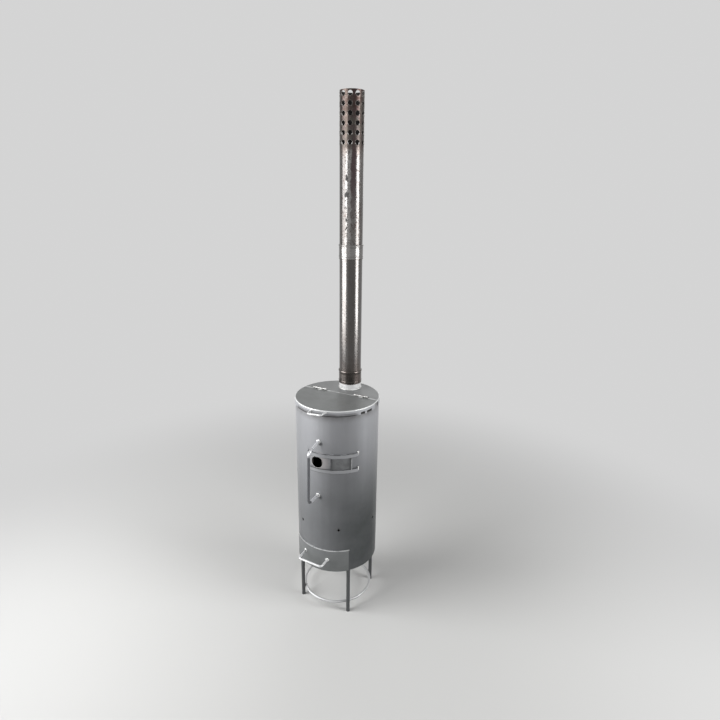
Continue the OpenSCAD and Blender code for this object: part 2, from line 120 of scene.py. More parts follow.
camera_data = bpy.data.cameras.new("photo_camera")
camera_data.sensor_width = SENSOR
camera_data.lens = SENSOR * FOCAL_SHARE
camera_data.clip_start = 0.05
camera = bpy.data.objects.new("photo_camera", camera_data)
camera.matrix_world = Matrix.Translation(CAMERA_AT) @ turn
bpy.context.scene.collection.objects.link(camera)
bpy.context.scene.camera = camera
print("lens", round(camera_data.lens, 2), "mm")

# %% [markdown]
# ## Light
# Sheet metal is seen by what it reflects. A wide, tall soft box on the left and a narrower one on
# the right give the long upright highlights. A small one high on the left lights the top and the
# rods' upper edges, and a weak one behind keeps the back from going black. Sun or spot lamps would
# give hard, thin glints instead. The backdrop is pale to the eye and in reflections, but adds only
# a little light of its own, so that the sides keep their shading.

# %% Set the world
BACKDROP_LEVEL = 0.66
FILL_LEVEL = 0.05
scene = bpy.context.scene
scene.view_settings.view_transform = "Standard"


def backdrop_level(nodes, links):
    """A socket with the backdrop's brightness for the ray that asks."""
    rays = nodes.new("ShaderNodeLightPath").outputs
    seen = rays["Is Camera Ray"]
    for kind in ("Is Glossy Ray", "Is Transmission Ray"):
        both = nodes.new("ShaderNodeMath")
        both.operation = "MAXIMUM"
        links.new(seen, both.inputs[0])
        links.new(rays[kind], both.inputs[1])
        seen = both.outputs[0]
    level = nodes.new("ShaderNodeMapRange")
    links.new(seen, level.inputs["Value"])
    level.inputs["To Min"].default_value = FILL_LEVEL
    level.inputs["To Max"].default_value = BACKDROP_LEVEL
    return level.outputs["Result"]


world = bpy.data.worlds.new("studio")
world.use_nodes = True
sky = world.node_tree
sky.nodes["Background"].inputs["Color"].default_value = (1, 1, 1, 1)
sky.links.new(backdrop_level(sky.nodes, sky.links), sky.nodes["Background"].inputs["Strength"])
scene.world = world
print("backdrop", BACKDROP_LEVEL, "fill", FILL_LEVEL)


# %% Place the lamps
def soft_lamp(name, az, distance, height, width, tall, radiance, aim_z):
    """A soft box that faces a point on the stove's axis; radiance is what a mirror would show."""
    lamp = bpy.data.lights.new(name, "AREA")
    lamp.shape = "RECTANGLE"
    lamp.size, lamp.size_y = width, tall
    lamp.energy = radiance * math.pi * width * tall
    thing = bpy.data.objects.new(name, lamp)
    at = on_ring(distance, az, height)
    aim = (Vector((0, 0, aim_z)) - at).to_track_quat("-Z", "Y").to_matrix().to_4x4()
    thing.matrix_world = Matrix.Translation(at) @ aim
    thing.visible_camera = False
    scene.collection.objects.link(thing)
    print(name, "energy", round(lamp.energy, 1))


CAMERA_AZ = math.degrees(math.atan2(CAMERA_AT.x, -CAMERA_AT.y))
soft_lamp("left_soft_box", CAMERA_AZ - 74, distance=2.2, height=1.42,
          width=2.0, tall=2.16, radiance=7.0, aim_z=1.0)
soft_lamp("right_soft_box", CAMERA_AZ + 66, distance=2.2, height=1.42,
          width=1.1, tall=1.96, radiance=8.0, aim_z=1.15)
soft_lamp("high_soft_box", CAMERA_AZ - 80, distance=1.6, height=2.6,
          width=0.7, tall=0.7, radiance=8.5, aim_z=0.7)
soft_lamp("back_soft_box", CAMERA_AZ + 170, distance=2.6, height=2.2,
          width=1.2, tall=1.6, radiance=1.2, aim_z=0.9)

# %% [markdown]
# ## Short calls for node trees
# A procedural material is a small network. Writing each node and link in full takes many lines,
# so this helper adds a node, sets its inputs by name and joins sockets where a value is a socket.
# Sums and products get calls of their own, because masks are made of little else. The same
# helper builds the Geometry Nodes trees further down.

# %% The tree helper
class Tree:
    """Adds nodes to one node tree and links them. A value may be a socket or a number."""

    def __init__(self, tree):
        self.tree = tree

    def add(self, kind, inputs=None, **settings):
        node = self.tree.nodes.new(kind)
        for key, value in settings.items():
            setattr(node, key, value)
        for key, value in (inputs or {}).items():
            self.put(node, key, value)
        return node

    def put(self, node, key, value):
        if isinstance(value, bpy.types.NodeSocket):
            self.tree.links.new(value, node.inputs[key])
        else:
            node.inputs[key].default_value = value

    def math(self, operation, a, b=0.0, clamp=False):
        node = self.add("ShaderNodeMath", {0: a, 1: b}, operation=operation, use_clamp=clamp)
        return node.outputs[0]

    def plus(self, a, b, clamp=False):
        return self.math("ADD", a, b, clamp)

    def minus(self, a, b):
        return self.math("SUBTRACT", a, b)

    def times(self, first, *others):
        for other in others:
            first = self.math("MULTIPLY", first, other)
        return first

    def larger(self, a, b):
        return self.math("MAXIMUM", a, b)

    def absolute(self, value):
        return self.math("ABSOLUTE", value)

    def length(self, a, b):
        """The long side of a right triangle with the short sides a and b."""
        return self.math("SQRT", self.plus(self.times(a, a), self.times(b, b)))

    def ramp(self, value, low, high, out_low=0.0, out_high=1.0):
        """Maps low..high to out_low..out_high with soft ends, and holds it outside."""
        node = self.add(
            "ShaderNodeMapRange",
            {"Value": value, "From Min": low, "From Max": high,
             "To Min": out_low, "To Max": out_high},
            interpolation_type="SMOOTHSTEP",
        )
        return node.outputs["Result"]

    def band(self, value, low, high, edge):
        """1 between low and high, 0 outside, with soft edges of the given width."""
        rise = self.ramp(value, low - edge, low)
        fall = self.ramp(value, high, high + edge, 1.0, 0.0)
        return self.times(rise, fall)

    def blend(self, share, a, b):
        """Colour a where share is 0 and colour b where it is 1."""
        node = self.add("ShaderNodeMix", {"Factor": share}, data_type="RGBA")
        self.put(node, 6, a)
        self.put(node, 7, b)
        return node.outputs[2]


print("tree helper ready")

# %% [markdown]
# ## A finish that stays with its piece
# Each material reads the piece's own coordinates in metres, so a mark keeps its place when the
# lid or the drawer moves, and its size can be given as on the real stove. Most patterns need one
# of four readings: a height, a distance from an upright axis, an angle round it, or noise.

# %% The finish helper
def colour(red, green, blue):
    return (red, green, blue, 1.0)


class Finish(Tree):
    """A material whose pattern lies in the piece's own space, in metres."""

    def __init__(self, name):
        self.material = bpy.data.materials.new(name)
        self.material.use_nodes = True
        super().__init__(self.material.node_tree)
        self.shader = self.tree.nodes["Principled BSDF"]
        self.place = self.add("ShaderNodeTexCoord").outputs["Object"]
        axes = self.add("ShaderNodeSeparateXYZ", {0: self.place}).outputs
        self.x, self.y, self.z = axes[0], axes[1], axes[2]

    def noise(self, scale, detail, roughness, stretch=None):
        """A stretch below 1 on an axis draws the pattern out along it."""
        vector = self.place
        if stretch:
            vector = self.add("ShaderNodeMapping", {"Vector": vector, "Scale": stretch}).outputs[0]
        inputs = {"Vector": vector, "Scale": scale, "Detail": detail, "Roughness": roughness}
        return self.add("ShaderNodeTexNoise", inputs).outputs["Fac"]

    def radius(self, centre_y=0.0):
        """Distance from an upright axis at x = 0."""
        return self.length(self.x, self.minus(self.y, centre_y))

    def az(self, centre_y=0.0):
        """Angle in degrees round an upright axis, from the front towards +X."""
        turn = self.math("ARCTAN2", self.x, self.minus(centre_y, self.y))
        return self.times(turn, 180 / math.pi)

    def away_from(self, x, z):
        """Distance from a point as seen from the front."""
        return self.length(self.minus(self.x, x), self.minus(self.z, z))

    def finish(self, base, roughness, metallic, height, relief=0.9):
        """height is in metres, so the bump's distance is 1."""
        self.put(self.shader, "Base Color", base)
        self.put(self.shader, "Roughness", roughness)
        self.put(self.shader, "Metallic", metallic)
        bump = self.add("ShaderNodeBump", {"Height": height, "Distance": 1.0, "Strength": relief})
        self.put(self.shader, "Normal", bump.outputs["Normal"])
        return self.material


print("finish helper ready")

# %% [markdown]
# ## Aluminium heat paint
# The drum, legs and handles wear silver stove paint. It holds fine metal flakes, so it shines in
# a broad, soft way, and it was brushed or sprayed on, which leaves a fine grain and faint upright
# streaks. A plain metal would be too sharp and a plain grey too dull, so the metallic share is
# about half. Heat and hands dull it in patches, and soot covers everything inside.

# %% The paint itself
SILVER = colour(0.335, 0.34, 0.357)
DULLED = colour(0.21, 0.214, 0.22)
SOOT = colour(0.018, 0.016, 0.015)
CAKED_SOOT = colour(0.055, 0.048, 0.042)
GRAIN_DEPTH = 0.00012
DENT_DEPTH = 0.0022
SOOT_EDGE = 0.0004


def silver_paint(name, tone=SILVER, metal=0.45, rough=0.36, dull=DULLED, inside=None, marks=None):
    """inside is the radius under which soot covers all; marks adds a piece's own wear and its
    painted light and shade.
    """
    f = Finish(name)
    streaks = f.noise(26, 4, 0.6, stretch=(1, 1, 0.06))
    clouds = f.noise(7, 5, 0.6)
    grain = f.noise(1500, 2, 0.6)
    specks = f.ramp(f.noise(330, 3, 0.7), 0.66, 0.74)
    patch = f.ramp(f.plus(f.times(streaks, 0.55), f.times(clouds, 0.45)), 0.42, 0.66)
    base = f.blend(f.times(patch, 0.3), tone, dull)
    base = f.blend(f.times(specks, 0.3), base, dull)
    roughness = f.plus(rough, f.times(f.minus(streaks, 0.5), 0.16))
    metallic = metal
    if marks:
        base, roughness = marks(f, base, roughness)
    if inside:
        sooty = f.ramp(f.radius(), inside - SOOT_EDGE, inside, 1.0, 0.0)
        soot = f.blend(f.ramp(f.noise(60, 4, 0.65), 0.35, 0.75), SOOT, CAKED_SOOT)
        base = f.blend(sooty, base, soot)
        roughness = f.plus(roughness, f.times(sooty, 0.5), clamp=True)
        metallic = f.times(f.minus(1.0, sooty), metal)
    dents = f.noise(5.5, 2, 0.5, stretch=(1, 1, 0.35))
    height = f.plus(f.times(grain, GRAIN_DEPTH), f.times(dents, DENT_DEPTH))
    return f.finish(base, roughness, metallic, height)


print("paint grain", GRAIN_DEPTH, "m deep")

# %% [markdown]
# ## What use and painted shade do to the drum
# Hands have rubbed a patch round the air hole, and a painted shadow lies below and right of both
# ends of the carrying handle. Smoke has settled under the lid's rim and round the small draught
# holes, and painted shade darkens the drum behind the two notches in the lid's skirt. A band right
# of the front and the lower half, most of all on the right, are painted darker as shade. Each mark
# is a mask made from a distance, a height or an angle, with noise on its edge. An image texture
# could do the same, but would tie it to one resolution.

# %% Marks of hands, and painted shadows by the handle's welds
WORN = colour(0.43, 0.4, 0.4)
WELD_SHADOW = colour(0.045, 0.045, 0.05)
RUBBED_X = 0.012
WELD_SHADOW_RIGHT = 0.008
WELD_SHADOW_DOWN = 0.007
CARRY_ENDS = ((0.0068, TOP_Z - 0.1186), (0.0032, TOP_Z - 0.329))


def hand_wear_and_weld_shadows(f, base, roughness):
    front = f.ramp(f.y, -0.02, 0.0, 1.0, 0.0)
    ragged = f.plus(f.away_from(RUBBED_X, AIR_Z), f.times(f.noise(90, 4, 0.6), 0.03))
    rubbed = f.times(f.ramp(ragged, 0.032, 0.062, 0.75, 0.0), front)
    base = f.blend(rubbed, base, WORN)
    for end_x, end_z in CARRY_ENDS:
        # A painted shadow lies below and right of each handle end's weld.
        spot = f.away_from(end_x + WELD_SHADOW_RIGHT, end_z - WELD_SHADOW_DOWN)
        weld_shadow = f.times(f.ramp(spot, 0.003, 0.0105, 0.8, 0.0), front)
        base = f.blend(weld_shadow, base, WELD_SHADOW)
    return base, f.plus(roughness, f.times(rubbed, 0.1))


print("shadowed spots", len(CARRY_ENDS))

# %% Marks of smoke, and painted shade
SMOKED = colour(0.12, 0.115, 0.11)
MIDDLE_SHADE = colour(0.07, 0.072, 0.076)
LOW_SHADE = colour(0.04, 0.045, 0.046)
UNDER_LID = (0.79, 0.822)
MIDDLE_AZ = (30.0, 50.0, 22.0)
MIDDLE_RISE = (0.42, 0.6)
RIGHT_AZ = (70.0, 110.0, 70.0)
LOW_FADE = (0.37, 0.81)
DRAUGHT_Z = shell_low.z + 0.1785
DRAUGHT_AZ = 30.0
NOTCHES = ((60, 67), (70, 80))


def smoke_and_shade_marks(f, base, turn_az):
    """Heights are (from, to) in metres, and angles (from, to, soft edge) in degrees."""
    smoke = f.times(f.ramp(f.z, *UNDER_LID), f.ramp(f.noise(18, 4, 0.6), 0.3, 0.7, 0.25, 0.8))
    base = f.blend(smoke, base, SMOKED)
    # A painted shade darkens a band right of the front, more towards the top.
    middle = f.times(f.band(turn_az, *MIDDLE_AZ), f.ramp(f.z, *MIDDLE_RISE, 0.0, 0.28))
    base = f.blend(middle, base, MIDDLE_SHADE)
    # The lower part is painted darker as shade, most of all on the right.
    right_side = f.plus(0.6, f.times(f.band(turn_az, *RIGHT_AZ), 0.4))
    cloudy = f.ramp(f.noise(9, 4, 0.6), 0.3, 0.7, 0.9, 1.0)
    low = f.times(f.ramp(f.z, *LOW_FADE, 1.0, 0.0), cloudy, right_side)
    return f.blend(low, base, LOW_SHADE)


def soot_and_notch_shade(f, base, turn_az):
    """Pingpong folds the angle so that one distance serves all six draught holes."""
    off_hole = f.absolute(f.minus(f.math("PINGPONG", turn_az, DRAUGHT_AZ), DRAUGHT_AZ))
    across = f.times(off_hole, SHELL_R * math.pi / 180)
    reach = f.length(across, f.minus(f.z, DRAUGHT_Z))
    ragged = f.plus(reach, f.times(f.noise(160, 3, 0.6), 0.003))
    base = f.blend(f.ramp(ragged, 0.0055, 0.009, 0.9, 0.0), base, SOOT)
    # Painted shade darkens the drum behind the two notches in the lid's skirt.
    notch_shade = 0.0
    for first, last in NOTCHES:
        notch_shade = f.larger(notch_shade, f.band(turn_az, first + 0.4, last - 0.4, 0.6))
    notch_shade = f.times(notch_shade, f.ramp(f.z, lid_low.z - 0.001, lid_low.z + 0.001))
    return f.blend(notch_shade, base, SOOT)


def drum_marks(f, base, roughness):
    base, roughness = hand_wear_and_weld_shadows(f, base, roughness)
    turn_az = f.az()
    return soot_and_notch_shade(f, smoke_and_shade_marks(f, base, turn_az), turn_az), roughness


drum_paint = silver_paint("drum_paint", inside=SHELL_R - WALL / 2, marks=drum_marks)
print("drum paint nodes", len(drum_paint.node_tree.nodes))

# %% [markdown]
# ## The rods and the legs
# All rods wear the same paint, but not the same tone. The two small handles and the foot ring are
# still pale. The carrying handle's grip is painted dark as shade, while its arms and its upper
# bend keep their pale paint. The legs are painted darkest, as shade.

# %% Paint for rods, ring and legs
ARM_SILVER = colour(0.5, 0.505, 0.52)
GRIP_BACK = -SHELL_R - 0.056
UPPER_BEND = TOP_Z - 0.15


def pale_arms_on_shaded_grip(f, base, roughness):
    arm = f.ramp(f.y, GRIP_BACK, GRIP_BACK + 0.007)
    bend = f.ramp(f.z, UPPER_BEND, UPPER_BEND + 0.008)
    return f.blend(f.larger(arm, bend), base, ARM_SILVER), roughness


rod_paint = silver_paint("rod_paint", tone=colour(0.6, 0.605, 0.61), metal=0.35, rough=0.38,
                         dull=colour(0.42, 0.425, 0.43))
# The grip's dark tone is painted shade; its arms and upper bend are painted pale.
grip_paint = silver_paint("grip_paint", tone=colour(0.13, 0.135, 0.145), metal=0.45, rough=0.28,
                          dull=colour(0.08, 0.08, 0.085), marks=pale_arms_on_shaded_grip)
# The legs' near-black tone is painted shade; the bottom plate and the draught holes' burrs share
# it.
leg_paint = silver_paint("leg_paint", tone=colour(0.085, 0.088, 0.09), metal=0.45, rough=0.38,
                         dull=colour(0.055, 0.057, 0.06))
ring_paint = silver_paint("ring_paint", tone=colour(0.5, 0.505, 0.51), metal=0.3, rough=0.4,
                          dull=colour(0.24, 0.24, 0.245))
print("paints", rod_paint.name, grip_paint.name, leg_paint.name, ring_paint.name)

# %% [markdown]
# ## Guides, drawer front and the bare slide
# Dark lines along the guides' long edges are grime and painted shade. The drawer front is smoked,
# most of all at its foot, with painted shade in the gaps at both sides and an upper hem that is
# rubbed and painted bright as its highlight. The slide plate is bare and dark from heat, with a
# painted shadow at its left end; its lips are painted dark as shade, the right lip bright as a
# highlight.

# %% Paint for the guides, the drawer front and the slide
LIT_EDGE_SILVER = colour(0.66, 0.67, 0.67)
GRIME_AND_SHADE = colour(0.05, 0.052, 0.054)
GAP_SHADE = colour(0.05, 0.052, 0.055)
DRAWER_SMOKE = colour(0.12, 0.13, 0.13)
HEAT_BLOT = colour(0.1, 0.1, 0.105)
SLIDE_END_SHADOW = colour(0.03, 0.031, 0.033)
GUIDE_LINES = [corners(n)[i].z for n in ("upper_air_guide", "lower_air_guide") for i in (0, 1)]


def edge_band(f, height, width):
    """1 within width of a height, and 0 away from it."""
    return f.ramp(f.absolute(f.minus(f.z, height)), width * 0.6, width, 1.0, 0.0)


def guide_marks(f, base, roughness):
    lines = 0.0
    for height in GUIDE_LINES:
        lines = f.larger(lines, edge_band(f, height, 0.0016))
    # The dark lines at the guides' edges are grime and painted shade under the strips.
    grime_and_shade = f.times(lines, f.ramp(f.noise(70, 3, 0.6), 0.35, 0.6, 0.25, 0.8))
    return f.blend(grime_and_shade, base, GRIME_AND_SHADE), roughness


def drawer_marks(f, base, roughness):
    # The upper hem is rubbed and painted bright as its highlight; the side gaps get painted shade.
    hem = edge_band(f, front_high.z, 0.0024)
    sides = f.ramp(f.absolute(f.x), front_high.x - 0.0022, front_high.x - 0.0012)
    lit_and_worn = f.times(hem, f.ramp(f.noise(60, 3, 0.6), 0.3, 0.55, 0.35, 0.8))
    to_foot = f.ramp(f.z, front_low.z + 0.004, front_high.z, 0.75, 0.3)
    smoke = f.times(to_foot, f.ramp(f.noise(24, 4, 0.6), 0.3, 0.7, 0.5, 1.0))
    base = f.blend(smoke, base, DRAWER_SMOKE)
    base = f.blend(f.times(sides, 0.8), base, GAP_SHADE)
    return f.blend(lit_and_worn, base, LIT_EDGE_SILVER), f.minus(roughness, f.times(lit_and_worn, 0.12))


def slide_marks(f, base, roughness):
    # Both lips get painted shade, the right lip a painted highlight, and the left end a painted
    # shadow.
    lips = f.ramp(f.radius(), SHELL_R + 0.0035, SHELL_R + 0.005)
    right_side = f.ramp(f.x, 0.08, 0.09)
    base = f.blend(lips, base, GAP_SHADE)
    blots = f.times(f.ramp(f.noise(38, 4, 0.6), 0.42, 0.62), 0.5)
    base = f.blend(blots, base, HEAT_BLOT)
    base = f.blend(f.ramp(f.az(), 7.6, 8.8, 0.85, 0.0), base, SLIDE_END_SHADOW)
    return f.blend(f.times(lips, right_side, 0.6), base, LIT_EDGE_SILVER), roughness


guide_paint = silver_paint("guide_paint", tone=colour(0.31, 0.315, 0.328), metal=0.45, rough=0.38,
                           marks=guide_marks)
drawer_paint = silver_paint("drawer_paint", tone=colour(0.19, 0.196, 0.198), metal=0.4, rough=0.42,
                            marks=drawer_marks)
slide_steel = silver_paint("slide_steel", tone=colour(0.175, 0.18, 0.184), metal=0.55, rough=0.4,
                           dull=colour(0.13, 0.13, 0.135), marks=slide_marks)
print("paints", guide_paint.name, drawer_paint.name, slide_steel.name)

# %% [markdown]
# ## The hot top
# The two top plates get the most heat. Their paint has gone flat and grey, with scratches from
# pots, while the rolled rim and both sides of the split are rubbed and painted bright as a
# highlight. The front of the skirt is painted darker as shade, with a painted shadow line along
# its lower edge. The rim and the skirt are told apart by radius and height.

# %% Paint for the top and the collar
TOP_GREY = colour(0.19, 0.197, 0.195)
REAR_GREY = colour(0.3, 0.3, 0.305)
HIGHLIGHT_AND_WEAR_SILVER = colour(0.66, 0.67, 0.67)
SKIRT_SHADE = colour(0.15, 0.15, 0.155)
SKIRT_FOOT_SHADOW = colour(0.03, 0.03, 0.03)
SPLIT_Y = (lid_high.y + corners("rear_top_plate")[0].y) / 2


def rim_highlight_and_wear(f, out):
    """The rim and both edges of the split, rubbed and painted bright as a highlight."""
    edge = f.times(f.ramp(out, TOP_R - 0.0036, TOP_R - 0.0022),
                   f.ramp(f.z, TOP_Z - 0.0042, TOP_Z - 0.0028))
    by_split = f.ramp(f.absolute(f.minus(f.y, SPLIT_Y)), 0.0022, 0.0034, 1.0, 0.0)
    lit_and_worn = f.times(by_split, f.ramp(f.noise(40, 3, 0.6), 0.4, 0.6, 0.35, 1.0))
    return f.larger(edge, lit_and_worn)


def shaded_skirt(f, base):
    """Painted shade darkens the front of the skirt, and a painted shadow line its lower edge."""
    below = f.ramp(f.z, TOP_Z - 0.0105, TOP_Z - 0.0092, 1.0, 0.0)
    ragged = f.ramp(f.noise(55, 4, 0.6), 0.3, 0.75, 0.95, 0.6)
    front = f.band(f.az(), -32.0, 50.0, 10.0)
    base = f.blend(f.times(below, ragged, front), base, SKIRT_SHADE)
    lowest = f.times(f.ramp(f.z, lid_low.z + 0.0035, lid_low.z + 0.0055, 0.85, 0.0), front)
    return f.blend(lowest, base, SKIRT_FOOT_SHADOW)


def top_marks(f, base, roughness):
    out = f.radius()
    base = f.blend(f.ramp(f.y, SPLIT_Y, SPLIT_Y + 0.002, 0.0, 0.3), base, REAR_GREY)
    # The rim and the split's edges get a painted highlight over their wear.
    rim = rim_highlight_and_wear(f, out)
    side = f.times(f.ramp(out, TOP_R - 0.0012, TOP_R - 0.0006),
                   f.ramp(f.z, TOP_Z - 0.003, TOP_Z - 0.0045))
    base = f.blend(side, base, SILVER)
    base = shaded_skirt(f, f.blend(rim, base, HIGHLIGHT_AND_WEAR_SILVER))
    under = f.ramp(f.z, TOP_Z - 0.0019, TOP_Z - 0.0014, 1.0, 0.0)
    hidden = f.times(under, f.ramp(out, TOP_R - 0.0012, TOP_R - 0.0008, 1.0, 0.0))
    base = f.blend(hidden, base, SOOT)
    scratch = f.ramp(f.noise(60, 3, 0.6, stretch=(1, 14, 1)), 0.68, 0.72)
    base = f.blend(f.times(scratch, 0.35), base, HIGHLIGHT_AND_WEAR_SILVER)
    roughness = f.minus(roughness, f.times(rim, 0.08))
    return base, f.plus(roughness, f.times(hidden, 0.4), clamp=True)


top_paint = silver_paint("top_paint", tone=TOP_GREY, metal=0.4, rough=0.5,
                         dull=colour(0.14, 0.14, 0.14), marks=top_marks)
collar_paint = silver_paint("collar_paint", tone=colour(0.66, 0.66, 0.66), metal=0.15, rough=0.4,
                            dull=colour(0.5, 0.5, 0.505))
print("paints", top_paint.name, collar_paint.name)

# %% [markdown]
# ## Heat-tinted pipe steel
# The pipes are bare rolled steel. Smoke heat has turned them straw brown and violet, at the foot
# of the lower pipe and at the far end of the upper one, and rolling left fine upright streaks.
# The tint follows the height on the pipe, broken up with noise, and the inner side is told apart
# by its radius and sooted.
#
# The lower pipe is calm, with one darker stripe down its front. The upper one has stood in the
# weather and the smoke: its socket is paler, the perforated end is burnt, and flecks of soot have
# run down under the holes. Its left side is darker, a pale stripe down its front is a painted
# reflection, and a darker violet stripe runs beside that.

# %% Colours of the pipes
STEEL = colour(0.175, 0.17, 0.166)
PALE_STEEL = colour(0.36, 0.35, 0.342)
SCRATCHED = colour(0.36, 0.34, 0.33)
STRAW = colour(0.12, 0.096, 0.084)
VIOLET = colour(0.07, 0.047, 0.05)
DUST = colour(0.035, 0.022, 0.02)
RUST_BLOT = colour(0.06, 0.036, 0.03)
LEFT_SIDE_DARK = colour(0.034, 0.03, 0.028)
STRIPE = colour(0.06, 0.054, 0.05)
BURNT_BROWN = colour(0.04, 0.024, 0.02)
BURNT_GREY = colour(0.062, 0.058, 0.05)
print("pipe steel runs from", STEEL[:3], "to", VIOLET[:3])


# %% What weather and smoke did to the upper pipe
LIT_STRIPE_AZ = (4.0, 20.0, 8.0)
VIOLET_STRIPE_AZ = (30.0, 44.0, 8.0)
DRIP_AZ = (0.0, 12.0, 7.0)


def upper_marks(f, base, roughness, clouds, dust, foot, top):
    """Gives the colour, the roughness and where soot hides the metal."""
    wavy = f.times(f.minus(f.noise(45, 3, 0.6), 0.5), 36.0)
    az = f.plus(f.az(PIPE_Y), wavy)
    # A pale stripe down the front is a painted reflection.
    lit_stripe = f.times(f.band(az, *LIT_STRIPE_AZ), f.minus(1.0, f.times(dust, 0.7)),
                    f.ramp(f.z, top - 0.19, top - 0.17, 1.0, 0.0))
    base = f.blend(f.times(lit_stripe, 0.6), base, PALE_STEEL)
    # A darker violet stripe runs beside it.
    violet_stripe = f.times(f.band(az, *VIOLET_STRIPE_AZ), f.ramp(f.z, foot + 0.08, foot + 0.3, 0.0, 0.85))
    base = f.blend(violet_stripe, base, VIOLET)
    base = f.blend(f.ramp(f.z, foot + 0.047, foot + 0.052, 0.35, 0.0), base, PALE_STEEL)
    burnt = f.times(f.ramp(f.z, top - 0.19, top - 0.155),
                    f.ramp(f.noise(62, 5, 0.8), 0.42, 0.56, 0.3, 1.0))
    crust = f.blend(f.ramp(clouds, 0.4, 0.6), BURNT_BROWN, BURNT_GREY)
    base = f.blend(f.times(burnt, 0.88), base, crust)
    roughness = f.plus(roughness, f.times(burnt, 0.14))
    drops = f.ramp(f.noise(78, 4, 0.7, stretch=(1, 1, 0.7)), 0.525, 0.545)
    under_holes = f.band(f.z, top - 0.42, top - 0.19, 0.03)
    soot_run = f.times(f.band(az, *DRIP_AZ), under_holes, drops)
    base = f.blend(soot_run, base, SOOT)
    return base, f.plus(roughness, f.times(soot_run, 0.4), clamp=True), soot_run


print("upper pipe marks ready")


# %% Pipe steel
STRIPE_AZ = (20.0, 44.0, 14.0)


def pipe_steel(name, foot, top, inner_r, weathered=False):
    f = Finish(name)
    streaks = f.noise(120, 4, 0.6, stretch=(1, 1, 0.03))
    clouds = f.noise(11, 5, 0.65, stretch=(1, 1, 0.5))
    near_foot = f.ramp(f.z, foot + 0.03, foot + 0.14, 0.1 if weathered else 0.6, 0.1)
    near_top = f.ramp(f.z, top - 0.22, top - 0.15, 0.0, 0.9 if weathered else 0.1)
    tint = f.plus(f.larger(near_foot, near_top), f.minus(clouds, 0.5), clamp=True)
    base = f.blend(tint, STEEL, STRAW)
    violet = f.times(f.ramp(tint, 0.55, 1.0), f.ramp(streaks, 0.35, 0.65))
    base = f.blend(violet, base, VIOLET)
    scratch = f.ramp(f.noise(210, 2, 0.5, stretch=(1, 1, 0.04)), 0.66, 0.7)
    base = f.blend(f.times(scratch, 0.3), base, SCRATCHED)
    uneven = f.plus(f.times(streaks, 0.6), f.times(clouds, 0.4))
    roughness = f.ramp(uneven, 0.3, 0.7, 0.14, 0.32)
    dust = f.ramp(f.noise(150, 4, 0.8), 0.53, 0.58)
    speckled = 0.8 if weathered else 0.35
    base = f.blend(f.times(dust, speckled), base, DUST)
    blots = f.ramp(f.noise(60, 5, 0.75, stretch=(1, 1, 0.6)), 0.55, 0.62)
    base = f.blend(f.times(blots, speckled * 0.6), base, RUST_BLOT)
    if weathered:
        # The left side is darker.
        left_side = f.ramp(f.plus(f.az(PIPE_Y), f.times(clouds, 12.0)), -2.0, 12.0, 0.4, 0.0)
        base = f.blend(left_side, base, LEFT_SIDE_DARK)
    # A painted shadow line lies under the socket's bead.
    under_bead_shadow = f.band(f.z, foot + 0.0375, foot + 0.0405, 0.0012)
    base = f.blend(f.times(under_bead_shadow, 0.7), base, SOOT)
    metal_off = f.times(dust, speckled * 0.6)
    if weathered:
        base, roughness, soot_run = upper_marks(f, base, roughness, clouds, dust, foot, top)
        metal_off = f.larger(metal_off, soot_run)
    else:
        base = f.blend(f.times(f.band(f.az(PIPE_Y), *STRIPE_AZ), 0.6), base, STRIPE)
    inner = f.ramp(f.radius(PIPE_Y), inner_r, inner_r + 0.0003, 1.0, 0.0)
    base = f.blend(inner, base, SOOT)
    roughness = f.plus(roughness, f.times(inner, 0.6), clamp=True)
    metallic = f.minus(1.0, f.larger(metal_off, inner))
    dents = f.noise(13, 2, 0.5, stretch=(1, 1, 0.5))
    dent_depth, streak_depth = (0.0006, 0.00003) if weathered else (0.0004, 0.000012)
    height = f.plus(f.times(dents, dent_depth), f.times(streaks, streak_depth))
    return f.finish(base, roughness, metallic, height)


PIPE_BORE = PIPE_R - 0.0008
lower_steel = pipe_steel("lower_pipe_steel", lower_low.z, lower_high.z, PIPE_BORE)
upper_steel = pipe_steel("upper_pipe_steel", upper_low.z, upper_high.z, PIPE_BORE, weathered=True)
print("pipe steel", lower_steel.name, upper_steel.name)

# %% [markdown]
# ## Bare steel, cast grate, weld metal
# The hinges, tray and runners are plain mild steel with mill scale. The grate is rough iron under
# ash. Weld metal is brighter than the paint beside it, because beads are often left unpainted or
# rubbed clean.

# %% Plain metals
ASH = colour(0.34, 0.32, 0.3)


def plain_metal(name, light, dark, rough, grain_scale, bite, metal=0.9, ash=0.0):
    """bite is the depth of the grain in metres, and ash the share of it that lies on top."""
    f = Finish(name)
    clouds = f.noise(22, 5, 0.62)
    grain = f.noise(grain_scale, 3, 0.6)
    base = f.blend(f.ramp(clouds, 0.35, 0.7), light, dark)
    base = f.blend(f.times(f.ramp(grain, 0.58, 0.68), 0.5), base, dark)
    metallic = metal
    if ash:
        dusted = f.times(f.ramp(f.noise(45, 5, 0.7), 0.42, 0.62), ash)
        base = f.blend(dusted, base, ASH)
        metallic = f.times(f.minus(1.0, dusted), metal)
    roughness = f.ramp(grain, 0.3, 0.75, rough, rough + 0.22)
    return f.finish(base, roughness, metallic, f.times(grain, bite), relief=1.0)


